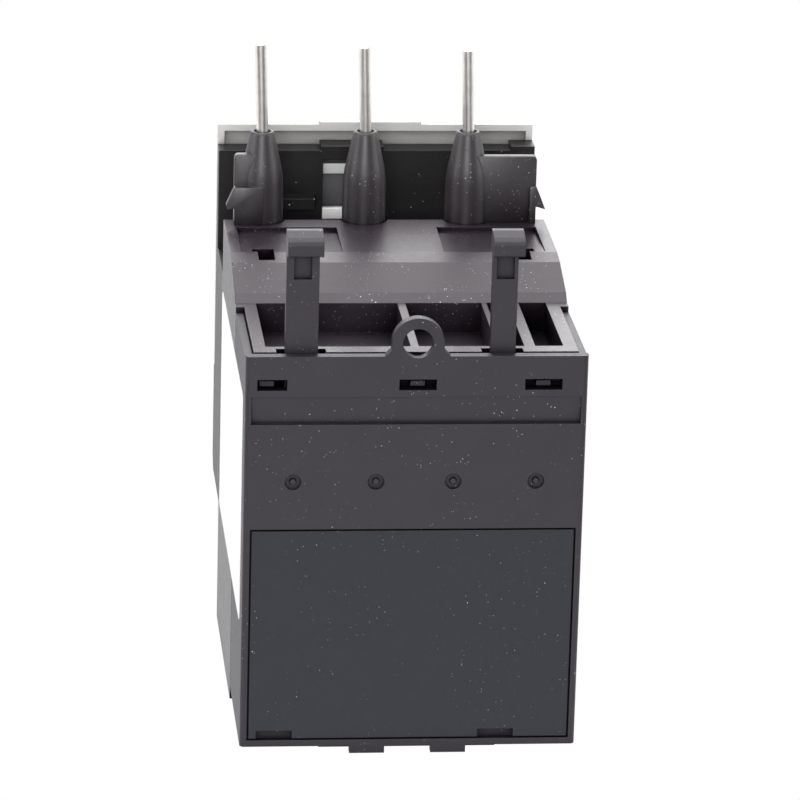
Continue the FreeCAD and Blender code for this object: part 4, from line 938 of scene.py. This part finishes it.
@dataclass
class DialScale:
    """Raised black ticks and plain numbers round the setting dial."""

    ticks: int = 21
    sweep: float = math.radians(240.0)
    tick_radius: float = 5.25 * MM
    tick_length: float = 0.7 * MM
    tick_width: float = 0.16 * MM
    number_radius: float = 4.25 * MM
    number_height: float = 1.15 * MM
    rise: float = 0.05 * MM
    numbers: tuple[str, ...] = ("1", "2", "3", "4", "5")
    ink: MouldedPlastic = MouldedPlastic("scale_ink", (0.015, 0.015, 0.015), 0.5, rounding=0.0)

    def build(self, shop: Workshop) -> None:
        """Print the scale on the dial's face.

        Args:
            shop: Makes the pieces.
        """
        low, high = node_box("setting_dial")
        middle = Vector(((low.x + high.x) / 2.0, low.y, (low.z + high.z) / 2.0))
        ink = self.ink.make()
        shop.place("dial_ticks", self.rule(middle, ink), "setting_dial", Slot.DIAL, material=ink)
        span = self.sweep / (len(self.numbers) - 1)
        for index, words in enumerate(self.numbers):
            angle = QUARTER + self.sweep / 2.0 - span * index
            spot = middle + Vector((math.cos(angle), 0.0, math.sin(angle))) * self.number_radius
            number = self.write(words, spot)
            shop.place(f"dial_number_{words}", number, "setting_dial", Slot.DIAL, material=ink)

    def rule(self, middle: Vector, ink: bpy.types.Material) -> bpy.types.Mesh:
        """Set the ticks along their arc.

        Args:
            middle: The centre of the dial's face.
            ink: What the ticks are made of.

        Returns:
            All the ticks.
        """
        tree = Pattern("dial_ticks", {
            "Count": self.ticks, "Radius": self.tick_radius, "Sweep": self.sweep,
            "Start": QUARTER - self.sweep / 2.0, "Middle": middle,
            "Tick": Vector((self.tick_width, self.tick_length, 2.0 * self.rise)),
        }, ink)
        arc = tree.add("GeometryNodeCurveArc", mode="RADIUS")
        tree.feed(arc, Resolution="Count", Radius="Radius", Start_Angle="Start", Sweep_Angle="Sweep")
        bar = tree.add("GeometryNodeMeshCube")
        tree.feed(bar, Size="Tick")
        along = tree.add("GeometryNodeInputTangent")
        turned = tree.add("FunctionNodeAlignRotationToVector", axis="X")
        tree.link(along, "Tangent", turned, "Vector")
        copies = tree.add("GeometryNodeInstanceOnPoints")
        tree.link(arc, "Curve", copies, "Points")
        tree.link(bar, "Mesh", copies, "Instance")
        tree.link(turned, "Rotation", copies, "Rotation")
        stand = tree.add("GeometryNodeTransform", Rotation=STOOD_UP)
        tree.feed(stand, Translation="Middle")
        tree.link(copies, "Instances", stand, "Geometry")
        tree.link(stand, "Geometry", tree.real, "Geometry")
        return tree.run()

    def write(self, words: str, spot: Vector) -> bpy.types.Mesh:
        """Make a number.

        Args:
            words: The number.
            spot: Where its middle lies.

        Returns:
            The number as a thin raised mesh that faces the front.
        """
        curve = bpy.data.curves.new("number", "FONT")
        curve.body = words
        curve.size = self.number_height
        curve.extrude = self.rise
        curve.align_x = "CENTER"
        curve.align_y = "CENTER"
        item = hang("number", curve)
        mesh = settled_mesh(item)
        bpy.data.objects.remove(item)
        mesh.transform(Matrix.Translation(spot) @ Matrix.Rotation(QUARTER, 4, "X"))
        return mesh


@dataclass
class PinSleeve:
    """A tapered sleeve round a plug pin, with the flat wings that the outer two carry."""

    x: float
    y: float = -16.85 * MM
    profile: tuple[tuple[float, float], ...] = (
        (0.00, 51.95), (3.05, 51.95), (3.05, 60.00), (3.03, 63.50), (3.00, 65.20), (2.93, 66.30),
        (2.80, 67.30), (2.45, 68.90), (2.04, 70.77), (1.74, 72.25), (1.66, 72.52), (1.50, 72.65),
        (1.28, 72.65), (1.12, 72.52), (1.05, 72.30), (1.00, 66.00), (0.00, 66.00),
    )
    sides: int = 64
    wing_round: float = 0.10 * MM

    def build(self, shop: Workshop, number: int, *plates: "Plate") -> None:
        """Turn the sleeve and join its wings to it.

        Args:
            shop: Makes the piece.
            number: Which pole the sleeve belongs to.
            plates: The wings.
        """
        work = bmesh.new()
        profile = [(radius * MM, height * MM) for radius, height in self.profile]
        round_part = lathe("sleeve_round", profile, self.sides)
        round_part.transform(Matrix.Translation(Vector((self.x, self.y, 0.0))))
        work.from_mesh(round_part)
        for plate in plates:
            work.from_mesh(plate.cut(self.wing_round))
        mesh = soften(pour(work, "sleeve"))
        shop.place(f"pin_sleeve_{number}_turned", mesh, "casing", Slot.SLEEVE, f"pin_sleeve_{number}")


@dataclass(frozen=True)
class Plate:
    """A flat plate across the relay, cut to an outline of X and Z in millimetres."""

    back: float
    front: float
    outline: tuple[tuple[float, float], ...]

    def cut(self, rounding: float) -> bpy.types.Mesh:
        """Make the plate with its face edges rounded.

        Args:
            rounding: The round of its edges in metres.

        Returns:
            The closed plate.
        """
        work = bmesh.new()
        corners = [work.verts.new((x * MM, self.front * MM, z * MM)) for x, z in self.outline]
        face = work.faces.new(corners)
        body = bmesh.ops.extrude_face_region(work, geom=[face])
        moved = [item for item in body["geom"] if isinstance(item, bmesh.types.BMVert)]
        bmesh.ops.translate(work, vec=(0.0, (self.back - self.front) * MM, 0.0), verts=moved)
        bmesh.ops.recalc_face_normals(work, faces=work.faces)
        bmesh.ops.bevel(work, geom=work.edges, offset=rounding, segments=2, affect="EDGES", profile=0.5)
        return pour(work, "plate")


POLES = {1: -11.55 * MM, 2: 2.85 * MM, 3: 17.25 * MM}
WINGS = {
    1: (
        Plate(-16.05, -14.85, ((-11.55, 59.2), (-21.1, 59.2), (-21.1, 69.0), (-20.95, 69.35), (-20.6, 69.5),
                               (-11.55, 69.5))),
        Plate(-16.05, -14.50, ((-20.2, 59.2), (-21.1, 59.2), (-21.1, 62.3), (-22.45, 61.9), (-21.5, 64.3),
                               (-21.1, 65.2), (-20.2, 65.2))),
    ),
    2: (),
    3: (
        Plate(-16.05, -14.85, ((17.25, 59.2), (21.2, 59.2), (21.2, 69.2), (21.05, 69.6), (20.7, 69.75),
                               (17.25, 69.75))),
        Plate(-14.95, -13.65, ((17.25, 59.2), (21.2, 59.2), (21.2, 62.3), (22.1, 62.1), (22.35, 62.7),
                               (21.2, 65.3), (17.25, 65.3))),
    ),
}


@dataclass
class DimpleMarks:
    """The small raised gate marks in the four dimples of the rear cover."""

    spots: tuple[float, ...] = (-16.05 * MM, -5.10 * MM, 5.10 * MM, 16.05 * MM)
    height: float = 39.40 * MM
    foot_radius: float = 0.50 * MM
    top_radius: float = 0.36 * MM
    rise: float = 0.30 * MM
    depth: float = 0.40 * MM
    sides: int = 20

    def build(self, shop: Workshop) -> None:
        """Set one mark on the floor of each dimple.

        Args:
            shop: Makes the piece.
        """
        floor = node_box("rear_cover")[1].y - self.depth
        tree = Pattern("dimple_marks", {
            "Sides": self.sides, "Top Radius": self.top_radius, "Foot Radius": self.foot_radius,
            "Rise": self.rise,
        }, shop.materials[Slot.COVER])
        stud = tree.add("GeometryNodeMeshCone")
        tree.feed(stud, Vertices="Sides", Radius_Top="Top Radius", Radius_Bottom="Foot Radius", Depth="Rise")
        copies = tree.add("GeometryNodeInstanceOnPoints", Rotation=LAID_BACK)
        tree.feed(copies, Points="Geometry")
        tree.link(stud, "Mesh", copies, "Instance")
        tree.link(copies, "Instances", tree.real, "Geometry")
        places = bpy.data.meshes.new("dimple_places")
        places.from_pydata([(x, floor, self.height) for x in self.spots], [], [])
        shop.place("dimple_marks", soften(tree.run(places)), "casing", Slot.COVER)


@dataclass(frozen=True)
class Band:
    """One strip seen through the opening behind the trip flag, measured from the flag's rear face."""

    name: str
    body: str
    finish: MouldedPlastic
    foot: float
    top: float
    sunk: float
    proud: float


@dataclass
class FlagBack:
    """The trip flag's rear face, with a dark sheet of painted shade in its hollow and a pale ridge painted
    lighter for the light on its top, and the fixed lip over them.
    """

    low_x: float = -0.9 * MM
    high_x: float = 7.7 * MM
    bands: tuple[Band, ...] = (
        Band("flag_upper_lip", "casing",
             MouldedPlastic("flag_pale", (0.55, 0.56, 0.55), 0.35, mottle=0.03),
             62.80 * MM, 64.35 * MM, 0.10 * MM, 0.65 * MM),
        # Painted shade: a dark grey sheet where the hollow lies in shade.
        Band("flag_hollow_painted_shade", "trip_flag",
             MouldedPlastic("flag_painted_shade", (0.085, 0.085, 0.09), 0.45, mottle=0.05),
             57.90 * MM, 62.60 * MM, -0.05 * MM, 0.06 * MM),
        # Painted highlight: the ridge is a much lighter copy of the flag's grey, for the light that falls on
        # its top.
        Band("flag_lower_ridge", "trip_flag",
             MouldedPlastic("flag_painted_light", (0.80, 0.80, 0.79), 0.30, mottle=0.02),
             56.20 * MM, 57.90 * MM, -0.05 * MM, 1.0 * MM),
    )
    round: float = 0.12 * MM

    def build(self, shop: Workshop) -> None:
        """Lay each band on its body.

        Args:
            shop: Makes the pieces.
        """
        face = node_box("trip_flag")[1].y
        for band in self.bands:
            low = Vector((self.low_x, face + band.sunk, band.foot))
            high = Vector((self.high_x, face + band.proud, band.top))
            mesh = soft_box(band.name, low, high, min(self.round, band.proud / 2.0))
            shop.place(band.name, mesh, band.body, Slot.FLAG, material=band.finish.make())


def soft_box(name: str, low: Vector, high: Vector, radius: float) -> bpy.types.Mesh:
    """Make a box with rounded edges.

    Args:
        name: The mesh's name.
        low: Its low corner.
        high: Its high corner.
        radius: The round of its edges.

    Returns:
        The closed mesh.
    """
    work = block(low, high)
    bmesh.ops.bevel(work, geom=work.edges, offset=radius, segments=3, affect="EDGES", profile=0.5)
    return soften(pour(work, name))


@dataclass
class SideLabel:
    """The blank white label on the casing's side."""

    low: tuple[float, float] = (-15.15 * MM, 18.3 * MM)
    high: tuple[float, float] = (31.55 * MM, 50.0 * MM)
    side: float = 22.5 * MM
    thickness: float = 0.08 * MM
    radius: float = 1.0 * MM
    corner_steps: int = 6

    def outline(self) -> list[tuple[float, float]]:
        """Give the label's rounded outline in Y and Z.

        Returns:
            The points of the outline in order.
        """
        spots = []
        (low_y, low_z), (high_y, high_z) = self.low, self.high
        for y, z, start in ((high_y, high_z, 0.0), (low_y, high_z, 90.0), (low_y, low_z, 180.0),
                            (high_y, low_z, 270.0)):
            middle_y = y + (self.radius if start in (90.0, 180.0) else -self.radius)
            middle_z = z + (self.radius if start in (180.0, 270.0) else -self.radius)
            for step in range(self.corner_steps + 1):
                angle = math.radians(start + 90.0 * step / self.corner_steps)
                spots.append((middle_y + self.radius * math.cos(angle),
                              middle_z + self.radius * math.sin(angle)))
        return spots

    def build(self, shop: Workshop) -> None:
        """Make the label as a thin rounded sheet on the side wall.

        Args:
            shop: Makes the piece.
        """
        work = bmesh.new()
        spots = self.outline()
        inner, outer = [
            [work.verts.new((x, y, z)) for y, z in spots] for x in (self.side, self.side + self.thickness)
        ]
        work.faces.new(outer)
        work.faces.new(list(reversed(inner)))
        for index, corner in enumerate(inner):
            after = (index + 1) % len(inner)
            work.faces.new((corner, inner[after], outer[after], outer[index]))
        bmesh.ops.recalc_face_normals(work, faces=work.faces)
        shop.place("side_label", pour(work, "side_label"), "casing", Slot.FASCIA, material=LABEL_FILM.make())


@dataclass
class Studio:
    """Camera, lamps, floor and white surroundings."""

    target: Vector = Vector((-0.734 * MM, 5.85 * MM, 40.691 * MM)).freeze()
    distance: float = 0.68943
    azimuth: float = math.radians(5.646)
    elevation: float = math.radians(18.432)
    roll: float = math.radians(1.548)
    lens: float = 226.32
    sensor: float = 36.0
    near_clip: float = 0.01
    far_clip: float = 20.0
    lamps: tuple[tuple[str, tuple[float, float, float], float, float], ...] = (
        ("top_lamp", (0.05, 0.05, 0.60), 0.60, 3.2),
        ("camera_lamp", (0.12, 0.80, 0.30), 0.22, 2.6),
        ("left_lamp", (0.65, 0.15, 0.25), 0.50, 1.6),
        ("right_lamp", (-0.65, 0.15, 0.25), 0.50, 1.6),
        ("far_lamp", (0.0, -0.70, 0.35), 0.60, 3.0),
    )
    floor_half: float = 3.0
    floor_drop: float = 0.1 * MM
    floor_colour: Colour = (0.9, 0.9, 0.9)
    floor_roughness: float = 0.9
    glow_ahead: tuple[float, float] = (-0.05, 0.12)
    glow_aside: tuple[float, float, float, float] = (0.03, 0.17, 1.0, 0.12)
    gloss_level: tuple[float, float, float, float] = (-0.2, 0.5, 1.0, 0.30)
    light_level: float = 0.35

    def build(self) -> None:
        """Set up the whole studio."""
        self.make_camera()
        self.make_floor()
        self.make_world()
        for name, place, size, power in self.lamps:
            self.make_lamp(name, Vector(place), size, power)

    def make_camera(self) -> None:
        """Put the camera where the photograph was taken from."""
        flat = math.cos(self.elevation)
        back = Vector((math.sin(self.azimuth) * flat, math.cos(self.azimuth) * flat,
                       math.sin(self.elevation)))
        ahead = -back
        right = ahead.cross(Vector((0.0, 0.0, 1.0))).normalized()
        up = right.cross(ahead)
        turned_right = right * math.cos(self.roll) + up * math.sin(self.roll)
        turned_up = up * math.cos(self.roll) - right * math.sin(self.roll)
        data = bpy.data.cameras.new("camera")
        data.sensor_width = self.sensor
        data.lens = self.lens
        data.clip_start = self.near_clip
        data.clip_end = self.far_clip
        camera = hang("camera", data)
        turn = Matrix((turned_right, turned_up, back)).transposed().to_4x4()
        camera.matrix_world = Matrix.Translation(self.target + back * self.distance) @ turn
        bpy.context.scene.camera = camera

    def make_lamp(self, name: str, place: Vector, size: float, power: float) -> None:
        """Hang a square soft lamp aimed at the relay.

        Args:
            name: The lamp's name.
            place: Where it hangs.
            size: Its side in metres.
            power: Its power in watts.
        """
        data = bpy.data.lights.new(name, "AREA")
        data.size = size
        data.energy = power
        lamp = hang(name, data)
        lamp.rotation_mode = "QUATERNION"
        lamp.location = place
        lamp.rotation_quaternion = (self.target - place).to_track_quat("-Z", "Y")

    def make_floor(self) -> None:
        """Lay the pale floor just under the relay, with a painted reflection: a glow that only glossy rays
        see, full behind the relay and in a strip straight ahead of it, dim to the sides in front.
        """
        work = bmesh.new()
        bmesh.ops.create_grid(work, x_segments=1, y_segments=1, size=self.floor_half)
        floor = hang("floor", pour(work, "floor"))
        floor.location.z = -self.floor_drop
        graph = Graph("floor_white")
        graph.fill(graph.surface, Base_Color=(*self.floor_colour, 1.0), Roughness=self.floor_roughness)
        floor.data.materials.append(graph.material)
        place = graph.add("ShaderNodeSeparateXYZ")
        graph.link(graph.coordinates, "Object", place, "Vector")
        aside = graph.calculate("ABSOLUTE", (place, "X"))
        beside = graph.calculate("MULTIPLY", aside, graph.ramp((place, "Y"), *self.glow_ahead))
        # Painted reflection: the floor glows for glossy rays only, which lays the bright stripe down each
        # sleeve.
        glow = graph.add("ShaderNodeEmission")
        graph.link(*graph.ramp(beside, *self.glow_aside), glow, "Strength")
        rays = graph.add("ShaderNodeLightPath")
        gloss = graph.blend((rays, "Is Glossy Ray"), (graph.surface, "BSDF"), (glow, "Emission"))
        graph.link(*graph.white_to_eye(gloss), graph.output, "Surface")

    def make_world(self) -> None:
        """Surround the scene with white, dimmer on the camera's side for gloss and light."""
        world = bpy.data.worlds.new("surround")
        bpy.context.scene.world = world
        world.use_nodes = True
        tree = Tree(world.node_tree)
        around = tree.add("ShaderNodeTexCoord")
        place = tree.add("ShaderNodeSeparateXYZ")
        tree.link(around, "Generated", place, "Vector")
        gloss = tree.ramp((place, "Y"), *self.gloss_level)
        rays = tree.add("ShaderNodeLightPath")
        mirrored = tree.calculate("MAXIMUM", (rays, "Is Glossy Ray"), (rays, "Is Transmission Ray"))
        unseen = tree.between(mirrored, self.light_level, gloss)
        level = tree.between((rays, "Is Camera Ray"), unseen, 1.0)
        white = tree.add("ShaderNodeBackground", Color=WHITE)
        tree.link(*level, white, "Strength")
        output = tree.add("ShaderNodeOutputWorld")
        tree.link(white, "Background", output, "Surface")


def write_sizes() -> None:
    """Update the view layer, so that the scene's evaluated state is current."""
    bpy.context.view_layer.update()


def main() -> None:
    """Build the sub-assemblies in order."""
    logging.basicConfig(level=logging.INFO, format="%(name)s %(message)s")
    bpy.context.scene.view_settings.view_transform = "Standard"
    Studio().build()
    shop = Workshop()
    shop.dress_frame()
    SideLabel().build(shop)
    PushSprings().build(shop)
    for screws in SCREWS:
        screws.build(shop)
    DialScale().build(shop)
    for number, x in POLES.items():
        PinSleeve(x).build(shop, number, *WINGS[number])
    DimpleMarks().build(shop)
    FlagBack().build(shop)
    write_sizes()


if __name__ == "__main__":
    main()
